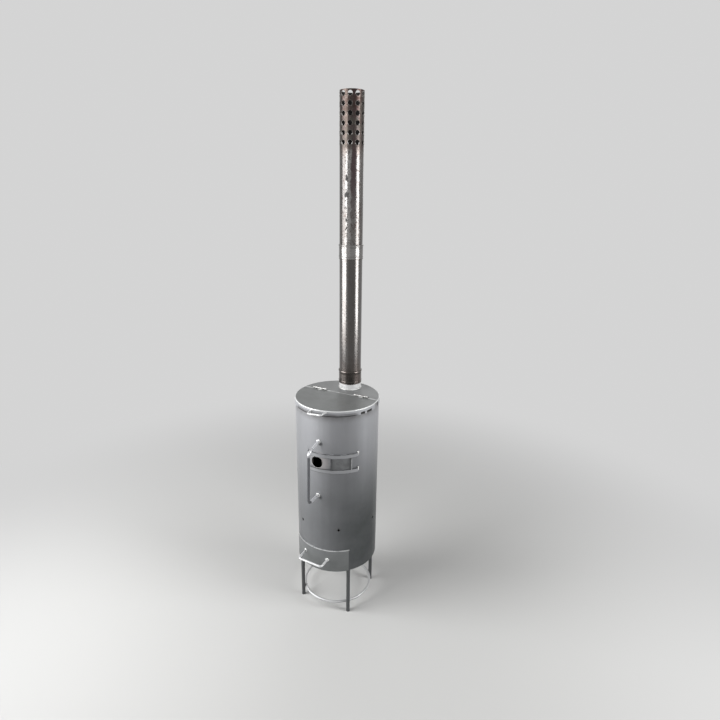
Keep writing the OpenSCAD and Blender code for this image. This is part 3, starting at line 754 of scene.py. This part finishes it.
hinge_steel = plain_metal("hinge_steel", colour(0.34, 0.34, 0.335), colour(0.2, 0.195, 0.19),
                          rough=0.28, grain_scale=800, bite=0.0002)
bare_steel = plain_metal("bare_steel", colour(0.42, 0.41, 0.39), colour(0.2, 0.18, 0.165),
                         rough=0.32, grain_scale=700, bite=0.0002)
tray_steel = plain_metal("tray_steel", colour(0.26, 0.245, 0.23), colour(0.1, 0.085, 0.075),
                         rough=0.45, grain_scale=500, bite=0.0003, ash=0.6)
grate_iron = plain_metal("grate_iron", colour(0.085, 0.08, 0.078), colour(0.03, 0.027, 0.025),
                         rough=0.6, grain_scale=380, bite=0.0006, metal=0.5, ash=0.35)
weld_metal = plain_metal("weld_metal", colour(0.68, 0.69, 0.68), colour(0.4, 0.395, 0.38),
                         rough=0.25, grain_scale=900, bite=0.0003, metal=0.75)
hole_edge = plain_metal("hole_edge", colour(0.36, 0.34, 0.32), colour(0.1, 0.085, 0.075),
                        rough=0.3, grain_scale=900, bite=0.0002, metal=0.95)
# The socket hems' dark steel is painted shade under their lips.
pipe_edge = plain_metal("pipe_edge", colour(0.12, 0.1, 0.092), colour(0.05, 0.042, 0.038),
                        rough=0.24, grain_scale=900, bite=0.0002, metal=0.95)
print("metals", bare_steel.name, tray_steel.name, grate_iron.name, weld_metal.name)

# %% [markdown]
# ## Each CAD piece gets its finish
# Every piece of the stove has its true shape in the CAD model already, so none is modelled again.
# A new mesh could replace a piece and carry finer detail, but its size might drift from the real
# one, and these plates and rods need none. Only the material in each piece's slots changes.

# %% Assign the finishes
FINISHES = {
    drum_paint: ["firebox_shell"],
    guide_paint: ["upper_air_guide", "lower_air_guide"],
    drawer_paint: ["drawer_front"],
    slide_steel: ["air_slide"],
    rod_paint: ["lid_handle", "drawer_handle"],
    grip_paint: ["carrying_handle"],
    leg_paint: [
        "front_left_leg", "front_right_leg", "rear_left_leg", "rear_right_leg", "bottom_plate",
    ],
    ring_paint: ["foot_ring"],
    top_paint: ["loading_lid", "rear_top_plate"],
    collar_paint: ["flue_collar"],
    lower_steel: ["lower_pipe"],
    upper_steel: ["upper_pipe"],
    bare_steel: ["lid_rest_bar"],
    hinge_steel: [
        "left_hinge_fixed_knuckles", "left_hinge_pin", "left_hinge_lid_knuckle",
        "right_hinge_fixed_knuckles", "right_hinge_pin", "right_hinge_lid_knuckle",
    ],
    tray_steel: ["ash_tray", "left_runner", "right_runner", "grate_lugs"],
    grate_iron: ["grate"],
}
for finish, names in FINISHES.items():
    for name in names:
        for slot in nodes[name].material_slots:
            slot.material = finish
left_out = set(nodes) - {n for names in FINISHES.values() for n in names}
print("nodes without a finish:", sorted(left_out))

# %% [markdown]
# ## Weld beads
# Every rod and fitting on the real stove is welded on, and a hand weld is a row of small
# overlapping drops. Modelling each drop by hand would take hours. Geometry Nodes can set one low
# drop along a path instead: the path carries the drop's size and the direction that points away
# from the metal, and each drop is turned and scaled by them with a little chance.

# %% How every tree starts and ends
def start_tree(name, fields):
    """A Geometry Nodes tree with a geometry input and named number inputs."""
    tree = bpy.data.node_groups.new(name, "GeometryNodeTree")
    tree.interface.new_socket("Geometry", in_out="OUTPUT", socket_type="NodeSocketGeometry")
    tree.interface.new_socket("Geometry", in_out="INPUT", socket_type="NodeSocketGeometry")
    for label, (kind, value) in fields.items():
        socket = tree.interface.new_socket(label, in_out="INPUT", socket_type=kind)
        socket.default_value = value
    t = Tree(tree)
    return t, t.add("NodeGroupInput").outputs


def end_tree(t, geometry, material):
    smooth = t.add("GeometryNodeSetShadeSmooth", {"Geometry": geometry}).outputs["Geometry"]
    painted = t.add("GeometryNodeSetMaterial", {"Geometry": smooth, "Material": material})
    t.add("NodeGroupOutput", {"Geometry": painted.outputs["Geometry"]})
    return t.tree


def named_vector(t, name):
    node = t.add("GeometryNodeInputNamedAttribute", {"Name": name}, data_type="FLOAT_VECTOR")
    return node.outputs["Attribute"]


def set_outward(t, points, shape, scale=None):
    """Sets a shape at each point, turned to the point's outward direction, as real geometry."""
    facing = t.add("FunctionNodeAlignEulerToVector", {"Vector": named_vector(t, "out")}, axis="Z")
    inputs = {"Points": points, "Instance": shape, "Rotation": facing.outputs["Rotation"]}
    if scale is not None:
        inputs["Scale"] = scale
    copies = t.add("GeometryNodeInstanceOnPoints", inputs).outputs["Instances"]
    return t.add("GeometryNodeRealizeInstances", {"Geometry": copies}).outputs["Geometry"]


print("tree ends ready")


# %% The weld tree
def weld_tree(material):
    t, given = start_tree(f"{material.name}_drops", {
        "Pitch": ("NodeSocketFloat", 0.002),
        "Chance": ("NodeSocketFloat", 0.16),
        "Seed": ("NodeSocketInt", 4),
    })
    curve = t.add("GeometryNodeMeshToCurve", {"Mesh": given["Geometry"]})
    points = t.add("GeometryNodeResampleCurve", {"Curve": curve.outputs["Curve"]})
    points.mode = "LENGTH"
    t.put(points, "Length", given["Pitch"])
    drop = t.add("GeometryNodeMeshUVSphere", {"Segments": 10, "Rings": 6, "Radius": 1.0})
    chance = t.add("FunctionNodeRandomValue", data_type="FLOAT")
    t.put(chance, 2, t.minus(1.0, given["Chance"]))
    t.put(chance, 3, t.plus(1.0, given["Chance"]))
    t.put(chance, "Seed", given["Seed"])
    size = t.add("ShaderNodeVectorMath", operation="SCALE")
    t.put(size, 0, named_vector(t, "size"))
    t.put(size, "Scale", chance.outputs[1])
    drops = set_outward(t, points.outputs["Curve"], drop.outputs["Mesh"], size.outputs["Vector"])
    return end_tree(t, drops, material)


bright_drops = weld_tree(weld_metal)
painted_drops = weld_tree(drum_paint)
print("weld tree nodes", len(bright_drops.nodes))

# %% [markdown]
# ## From a path to a finished piece
# A path is a list of points with their outward directions. It becomes a wire mesh with two
# attributes, the tree runs on it once, and the result is turned into a plain mesh, because the
# exported model keeps no instances and no live modifiers.

# %% Piece helpers
def wire(name, runs):
    """runs: (points, outward directions, closed, drop size) for each weld or seam."""
    points, outs, sizes, edges = [], [], [], []
    for run_points, run_outs, closed, size in runs:
        first = len(points)
        points += run_points
        outs += run_outs
        sizes += [size] * len(run_points)
        edges += [(first + i, first + i + 1) for i in range(len(run_points) - 1)]
        if closed:
            edges.append((len(points) - 1, first))
    mesh = bpy.data.meshes.new(name)
    mesh.from_pydata(points, edges, [])
    for label, values in (("out", outs), ("size", sizes)):
        layer = mesh.attributes.new(label, "FLOAT_VECTOR", "POINT")
        layer.data.foreach_set("vector", [c for v in values for c in v])
    piece = bpy.data.objects.new(name, mesh)
    scene.collection.objects.link(piece)
    return piece


def settle(piece, tree, values):
    """Runs a tree on a piece with the given inputs and keeps the result as a plain mesh."""
    modifier = piece.modifiers.new(tree.name, "NODES")
    modifier.node_group = tree
    for item in tree.interface.items_tree:
        if item.in_out == "INPUT" and item.name in values:
            modifier[item.identifier] = values[item.name]
    graph = bpy.context.evaluated_depsgraph_get()
    mesh = bpy.data.meshes.new_from_object(piece.evaluated_get(graph))
    piece.modifiers.remove(modifier)
    piece.data = mesh
    print(piece.name, len(mesh.polygons), "faces")
    return piece


def carried(piece, body):
    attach(piece, body)
    return piece


def welds(name, runs, tree, body, pitch, seed):
    piece = settle(wire(name, runs), tree, {"Pitch": pitch, "Seed": seed})
    return carried(piece, body)


print("piece helpers ready")


# %% Path helpers
def on_wall(x, z, radius):
    """The point at x and z on the front of a round wall."""
    return Vector((x, -math.sqrt(radius ** 2 - x ** 2), z))


def rod_weld(rod_at, half_width, wall_r, drop, count=28):
    """A closed run round a rod that meets an upright round wall; rod_at is on the wall."""
    centre = Vector((rod_at.x, rod_at.y, 0)).normalized()
    side = Vector((-centre.y, centre.x, 0))
    points, outs = [], []
    for i in range(count):
        a = 2 * math.pi * i / count
        spot = centre * wall_r + side * (half_width * math.cos(a))
        outward = Vector((spot.x, spot.y, 0)).normalized()
        spot = outward * wall_r
        points.append(Vector((spot.x, spot.y, rod_at.z + half_width * math.sin(a))))
        outs.append(outward)
    return points, outs, True, drop


def flat_ring(centre, radius, out, drop, count):
    """A closed level run; out gives the outward direction for a radial unit vector."""
    points, outs = [], []
    for i in range(count):
        a = 2 * math.pi * i / count
        ray = Vector((math.cos(a), math.sin(a), 0))
        points.append(Vector(centre) + ray * radius)
        outs.append(out(ray))
    return points, outs, True, drop


def line_run(start, end, out, drop, count=4):
    points = [Vector(start).lerp(Vector(end), i / (count - 1)) for i in range(count)]
    return points, [Vector(out)] * count, False, drop


def up_and_out(ray):
    return (ray + Vector((0, 0, 1))).normalized()


def down_and_out(ray):
    return (ray - Vector((0, 0, 1))).normalized()


print("path helpers ready")

# %% [markdown]
# ## The welds on the stove body
# The carrying handle has a full ring at each end. The guides are tacked at their ends, with big
# bright drops on the right and small ones under the paint on the left, and with short runs along
# their outer edges. The collar has a ring on the top plate, the drum has one long seam at the
# back and a ring round its bottom plate, and the legs and the foot ring are welded where they
# meet. Drops that were painted over make one piece, and the bright ones another.

# %% Handle and guides
ROUND_DROP = (0.0021, 0.0021, 0.0015)
SMALL_DROP = (0.0013, 0.0013, 0.001)
CARRY_DROP = (0.0022, 0.0022, 0.0013)
BRIGHT_TACK = (0.0034, 0.0034, 0.0028)
PAINTED_TACK = (0.002, 0.002, 0.0014)
EDGE_DROP = (0.0016, 0.0016, 0.0012)
CARRY_HALF = 0.0062
GUIDE_LEFT = -14.0
GUIDE_RIGHT = 56.5
TACK_LEAN = 0.25
GUIDES_TOP = corners("upper_air_guide")[1].z
GUIDES_FOOT, LOWER_GUIDE_TOP = (c.z for c in corners("lower_air_guide"))
body_runs, painted_runs = [], []
for x, z in CARRY_ENDS:
    body_runs.append(rod_weld(on_wall(x, z, SHELL_R), CARRY_HALF, SHELL_R + 0.0002, CARRY_DROP))


def guide_tack(az, lean, z, drop):
    """A short upright run that stands lean degrees off a guide's end."""
    start = on_ring(SHELL_R + 0.0012, az + lean, z - 0.005)
    end = on_ring(SHELL_R + 0.0012, az + lean, z + 0.003)
    return line_run(start, end, on_ring(1, az, 0), drop)


for z in (GUIDES_TOP - 0.001, LOWER_GUIDE_TOP - 0.002):
    body_runs.append(guide_tack(GUIDE_RIGHT, TACK_LEAN, z, BRIGHT_TACK))
for z in (GUIDES_TOP - 0.001, GUIDES_FOOT + 0.001):
    painted_runs.append(guide_tack(GUIDE_LEFT, -TACK_LEAN, z, PAINTED_TACK))
for az in (4.0, 21.0, 38.0):
    for z in (GUIDES_TOP + 0.0004, GUIDES_FOOT - 0.0004):
        arc = [on_ring(SHELL_R + 0.0005, az + step, z) for step in (-2.0, -1.0, 0.0, 1.0, 2.0)]
        painted_runs.append((arc, [on_ring(1, az, 0)] * len(arc), False, EDGE_DROP))
print("bright runs", len(body_runs), "painted runs", len(painted_runs))

# %% Collar, drum, legs and foot ring
SEAM_DROP = (0.0021, 0.0021, 0.0007)
LEG_DROP = (0.0017, 0.0017, 0.0014)
MEET_DROP = (0.0015, 0.0015, 0.0013)
MEET_WIDE = 0.0042
MEET_TALL = 0.0034
MEET_POINTS = 16
collar_at = Vector((0, PIPE_Y, TOP_Z + 0.0008))
body_runs.append(flat_ring(collar_at, PIPE_R + 0.0016, up_and_out, ROUND_DROP, 60))
seam_foot = on_ring(SHELL_R, 180, shell_low.z + 0.001)
seam_head = on_ring(SHELL_R, 180, shell_high.z - 0.022)
painted_runs.append(line_run(seam_foot, seam_head, (0, 1, 0), SEAM_DROP))
plate_r = SHELL_R - WALL - 0.0002
painted_runs.append(
    flat_ring((0, 0, shell_low.z), plate_r, lambda ray: Vector((0, 0, -1)), SMALL_DROP, 90))

leg_low, leg_high = corners("front_right_leg")
LEG_R = (leg_high.x - leg_low.x) / 2
LEG_RING = math.hypot(leg_low.x + LEG_R, leg_low.y + LEG_R)
ring_low, ring_high = corners("foot_ring")
RING_Z = (ring_low.z + ring_high.z) / 2
for az in (45, 135, -135, -45):
    at = on_ring(LEG_RING, az, shell_low.z - 0.0006)
    painted_runs.append(flat_ring(at, LEG_R + 0.0008, down_and_out, LEG_DROP, 24))
    inward = -on_ring(1, az, 0)
    along = Vector((-inward.y, inward.x, 0))
    meet = on_ring(LEG_RING - LEG_R, az, RING_Z)
    loop = []
    for i in range(MEET_POINTS):
        a = 2 * math.pi * i / MEET_POINTS
        rise = Vector((0, 0, MEET_TALL * math.sin(a)))
        loop.append(meet + along * (MEET_WIDE * math.cos(a)) + rise)
    painted_runs.append((loop, [(p - meet).normalized() for p in loop], True, MEET_DROP))
print("legs stand on a circle of radius", round(LEG_RING, 4))

# %% Hinges, then both weld pieces of the body
for name in ("left_hinge_fixed_knuckles", "right_hinge_fixed_knuckles"):
    low, high = corners(name)
    third = (high.x - low.x) / 3
    for x in (low.x + third / 2, high.x - third / 2):
        foot = Vector((x, high.y + 0.0002, TOP_Z + 0.0002))
        reach = Vector((third * 0.36, 0, 0))
        body_runs.append(line_run(foot - reach, foot + reach, (0, 0.7, 0.7), SMALL_DROP))
welds("stove_welds", body_runs, bright_drops, "stove", pitch=0.0019, seed=11)
welds("seam_welds", painted_runs, painted_drops, "stove", pitch=0.0019, seed=14)

# %% [markdown]
# ## The welds on the lid and on the drawer
# The lid's small handle and its hinge knuckles are welded to the lid, and the pull is welded to
# the drawer front. These drops could be part of the body's weld piece, but then they would stay
# behind when the lid opens. So each part that moves gets its own weld piece, which rides on it.

# %% Welds of the lid
LIFT_X = 0.0065
LIFT_Z = TOP_Z - 0.0074
LIFT_HALF = 0.0275
LIFT_TILT = math.radians(4)
LIFT_DROP = (0.0012, 0.0012, 0.001)
lid_runs = []
for side in (-1, 1):
    x = LIFT_X + side * LIFT_HALF * math.cos(LIFT_TILT)
    z = LIFT_Z + side * LIFT_HALF * math.sin(LIFT_TILT)
    lid_runs.append(rod_weld(on_wall(x, z, TOP_R), 0.0036, TOP_R + 0.0001, LIFT_DROP))
for name in ("left_hinge_lid_knuckle", "right_hinge_lid_knuckle"):
    low, high = corners(name)
    foot = Vector(((low.x + high.x) / 2, low.y - 0.0002, TOP_Z + 0.0002))
    reach = Vector(((high.x - low.x) * 0.38, 0, 0))
    lid_runs.append(line_run(foot - reach, foot + reach, (0, -0.7, 0.7), SMALL_DROP))
welds("lid_welds", lid_runs, bright_drops, "lid", pitch=0.0016, seed=12)

# %% Welds of the drawer
PULL_X = -0.010
PULL_HALF = 0.0475
PULL_TILT = math.radians(3)
PULL_DROP = (0.0019, 0.0019, 0.0014)
pull_low, pull_high = corners("drawer_handle")
PULL_Z = (pull_low.z + pull_high.z) / 2
drawer_runs = []
for side in (-1, 1):
    x = PULL_X + side * PULL_HALF * math.cos(PULL_TILT)
    z = PULL_Z - side * PULL_HALF * math.sin(PULL_TILT)
    drawer_runs.append(rod_weld(on_wall(x, z, FRONT_R), 0.0056, FRONT_R + 0.0002, PULL_DROP))
welds("drawer_welds", drawer_runs, bright_drops, "ash_drawer", pitch=0.0018, seed=13)

# %% [markdown]
# ## Burrs round the drilled holes
# A drilled or punched hole in thin sheet has a raised edge, bright where it is clean and dark
# where soot sits on it. Its outline follows the round wall, so a flat ring would sink at the
# sides. The tree sets a circle at each hole, pushes its points onto the wall, and only then gives
# it thickness.

# %% The burr tree
def burr_tree(name, material):
    t, given = start_tree(name, {
        "Hole Radius": ("NodeSocketFloat", 0.008),
        "Wall Radius": ("NodeSocketFloat", 0.04),
        "Axis Y": ("NodeSocketFloat", 0.0),
        "Burr": ("NodeSocketFloat", 0.0006),
    })
    circle = t.add("GeometryNodeCurvePrimitiveCircle",
                   {"Resolution": 28, "Radius": given["Hole Radius"]})
    rings = set_outward(t, given["Geometry"], circle.outputs["Curve"])
    position = t.add("GeometryNodeInputPosition").outputs[0]
    place = t.add("ShaderNodeSeparateXYZ", {0: position}).outputs
    off = t.minus(place[1], given["Axis Y"])
    share = t.math("DIVIDE", given["Wall Radius"], t.length(place[0], off))
    onto = t.add("ShaderNodeCombineXYZ", {
        0: t.times(place[0], share),
        1: t.plus(given["Axis Y"], t.times(off, share)),
        2: place[2],
    }).outputs[0]
    moved = t.add("GeometryNodeSetPosition", {"Geometry": rings, "Position": onto})
    section = t.add("GeometryNodeCurvePrimitiveCircle", {"Resolution": 6, "Radius": given["Burr"]})
    tube = t.add("GeometryNodeCurveToMesh", {
        "Curve": moved.outputs["Geometry"], "Profile Curve": section.outputs["Curve"],
    })
    return end_tree(t, tube.outputs["Mesh"], material)


def burrs(name, tree, places, body, hole_r, wall_r, axis_y, burr, sunk=0.0):
    """places: (az angle, height) of each hole on a wall whose axis stands at axis_y."""
    runs = []
    for az, z in places:
        point = on_ring(wall_r, az, z, axis_y)
        runs.append(([point], [on_ring(1, az, 0)], False, (1, 1, 1)))
    sizes = {"Hole Radius": hole_r, "Wall Radius": wall_r - sunk, "Axis Y": axis_y, "Burr": burr}
    return carried(settle(wire(name, runs), tree, sizes), body)


painted_burr = burr_tree("painted_burrs", weld_metal)
sooty_burr = burr_tree("sooty_burrs", leg_paint)
steel_burr = burr_tree("steel_burrs", hole_edge)
print("burr tree nodes", len(steel_burr.nodes))

# %% Burrs of the drum and the collar
draught = [(DRAUGHT_AZ + 60 * i, DRAUGHT_Z) for i in range(6)]
burrs("draught_hole_burrs", sooty_burr, draught, "stove",
      hole_r=0.0048, wall_r=SHELL_R, axis_y=0.0, burr=0.0005)
burrs("air_hole_burr", painted_burr, [(0, AIR_Z)], "stove",
      hole_r=0.0223, wall_r=SHELL_R, axis_y=0.0, burr=0.0005, sunk=0.0002)
COLLAR_HOLE = (-22.5, TOP_Z + 0.009)
burrs("collar_hole_burr", painted_burr, [COLLAR_HOLE], "stove",
      hole_r=0.0026, wall_r=PIPE_R, axis_y=PIPE_Y, burr=0.0004)

# %% Burrs of the spark holes
SPARK_ROWS = 6
SPARK_COLUMNS = 10
SPARK_PITCH = 0.0285
SPARK_FIRST = 0.0125
SPARK_AZ = -18
spark_holes = []
for row in range(SPARK_ROWS):
    for column in range(SPARK_COLUMNS):
        az = SPARK_AZ + column * 360 / SPARK_COLUMNS
        spark_holes.append((az, upper_high.z - SPARK_FIRST - row * SPARK_PITCH))
burrs("spark_hole_burrs", steel_burr, spark_holes, "chimney_upper",
      hole_r=0.0081, wall_r=PIPE_R, axis_y=PIPE_Y, burr=0.0003)

# %% [markdown]
# ## Folded seams and swaged rings of the pipes
# A stove pipe is a sheet rolled into a tube and closed with a folded lock seam, which faces the
# back here. Its socket has a rolled bead above it, which the CAD model has, a fine swaged ring
# near its foot and a hem at its lip. The seam is a strip with a rounded section, swept upright by
# hand in mesh code, because only four are needed. Rings and hems are turned by one short helper.

# %% Seam helpers
def mesh_from(name, build):
    """Turns a bmesh into a mesh whose faces point outwards."""
    mesh = bpy.data.meshes.new(name)
    bmesh.ops.recalc_face_normals(build, faces=build.faces)
    build.to_mesh(mesh)
    build.free()
    return mesh


def strip_mesh(name, section, z_low, z_high):
    """Sweeps a level closed section from z_low to z_high and closes both ends."""
    build = bmesh.new()
    low = [build.verts.new((x, y, z_low)) for x, y in section]
    high = [build.verts.new((x, y, z_high)) for x, y in section]
    count = len(section)
    for i in range(count):
        j = (i + 1) % count
        build.faces.new((low[i], low[j], high[j], high[i]))
    build.faces.new(list(reversed(low)))
    build.faces.new(high)
    return mesh_from(name, build)


def seam_section(radius, half_width=0.0045, rise=0.0011):
    """The folded seam's section, on the back of a pipe."""
    inner = radius - 0.0004
    half = [(-half_width, 0.0), (-half_width, rise * 0.7), (-half_width * 0.8, rise)]
    outline = []
    for along, out in half + [(-along, out) for along, out in reversed(half)]:
        a = along / radius
        r = inner if out == 0.0 else radius + out
        outline.append((r * math.sin(a), PIPE_Y + r * math.cos(a)))
    return outline


print("seam section points", len(seam_section(PIPE_R)))


# %% Ring helpers
def ring_mesh(name, section, centre_y, count=96):
    """Turns a closed (radius, z) section round an upright axis."""
    build = bmesh.new()
    rows = []
    for i in range(count):
        a = 2 * math.pi * i / count
        sin_a, cos_a = math.sin(a), math.cos(a)
        rows.append([build.verts.new((r * cos_a, centre_y + r * sin_a, z)) for r, z in section])
    for i in range(count):
        here, following = rows[i], rows[(i + 1) % count]
        for k in range(len(section)):
            m = (k + 1) % len(section)
            build.faces.new((here[k], following[k], following[m], here[m]))
    mesh = mesh_from(name, build)
    mesh.polygons.foreach_set("use_smooth", [True] * len(mesh.polygons))
    return mesh


def half_round(radius, z, width, rise, steps=8):
    """The section of a low round ring on a wall of the given radius."""
    arc = []
    for i in range(steps + 1):
        a = math.pi * i / steps
        arc.append((radius + rise * math.sin(a), z - width / 2 * math.cos(a)))
    return [(radius - 0.0003, z - width / 2)] + arc + [(radius - 0.0003, z + width / 2)]


def add_piece(mesh, material, body):
    mesh.materials.append(material)
    piece = bpy.data.objects.new(mesh.name, mesh)
    scene.collection.objects.link(piece)
    print(piece.name, len(mesh.polygons), "faces")
    return carried(piece, body)


print("ring helpers ready")

# %% Seams, rings and hems of both pipes
SOCKET_R = 0.0416
SOCKET_H = 0.045
SPIGOT = SOCKET_H + 0.002
HOLED_END = 0.1725
for label, low, high, plain_end, body, steel in (
    ("lower", lower_low, lower_high, SPIGOT, "chimney_lower", lower_steel),
    ("upper", upper_low, upper_high, HOLED_END, "chimney_upper", upper_steel),
):
    bead_z = low.z + SOCKET_H
    seam_top = high.z - plain_end
    seam = strip_mesh(f"{label}_pipe_seam", seam_section(PIPE_R), bead_z + 0.004, seam_top)
    add_piece(seam, steel, body)
    seam = strip_mesh(f"{label}_socket_seam", seam_section(SOCKET_R), low.z, bead_z - 0.002)
    add_piece(seam, steel, body)
    ring = half_round(SOCKET_R, low.z + 0.009, 0.0034, 0.0011)
    add_piece(ring_mesh(f"{label}_swaged_ring", ring, PIPE_Y), steel, body)
    hem = half_round(SOCKET_R, low.z + 0.0009, 0.0016, 0.0006, 6)
    add_piece(ring_mesh(f"{label}_socket_hem", hem, PIPE_Y), pipe_edge, body)

# %% [markdown]
# ## The floor
# The floor is one very large plain sheet. It is a stage piece and not part of the stove, and it
# is there for the shadow between the feet. A curved backdrop would do as well, but its bend shows
# in bare metal. Far out the sheet fades into the colour of the world, so that no hard horizon
# crosses the picture.

# %% Floor
FLOOR_HALF = 40.0
FLOOR_PALE = colour(0.56, 0.56, 0.552)
FLOOR_SHEEN = 0.3
f = Finish("floor_sheet")
far = f.ramp(f.radius(), 0.5, 2.2)
f.put(f.shader, "Base Color", f.blend(far, FLOOR_PALE, colour(0, 0, 0)))
f.put(f.shader, "Roughness", 0.8)
f.put(f.shader, "Emission Color", colour(1, 1, 1))
f.put(f.shader, "Emission Strength", f.times(far, backdrop_level(f.tree.nodes, f.tree.links)))
f.put(f.shader, "Specular IOR Level", f.minus(FLOOR_SHEEN, f.times(far, FLOOR_SHEEN)))
FLOOR_SIGNS = ((-1, -1), (1, -1), (1, 1), (-1, 1))
floor_corners = [(x * FLOOR_HALF, y * FLOOR_HALF, 0) for x, y in FLOOR_SIGNS]
floor_mesh = bpy.data.meshes.new("floor")
floor_mesh.from_pydata(floor_corners, [], [(0, 1, 2, 3)])
floor_mesh.materials.append(f.material)
floor = bpy.data.objects.new("floor", floor_mesh)
scene.collection.objects.link(floor)
floor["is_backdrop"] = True
print("floor", 2 * FLOOR_HALF, "m wide")

# %% Sizes, then finish
low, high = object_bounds()
print("visual box", [round(v, 4) for v in (*low, *high)])
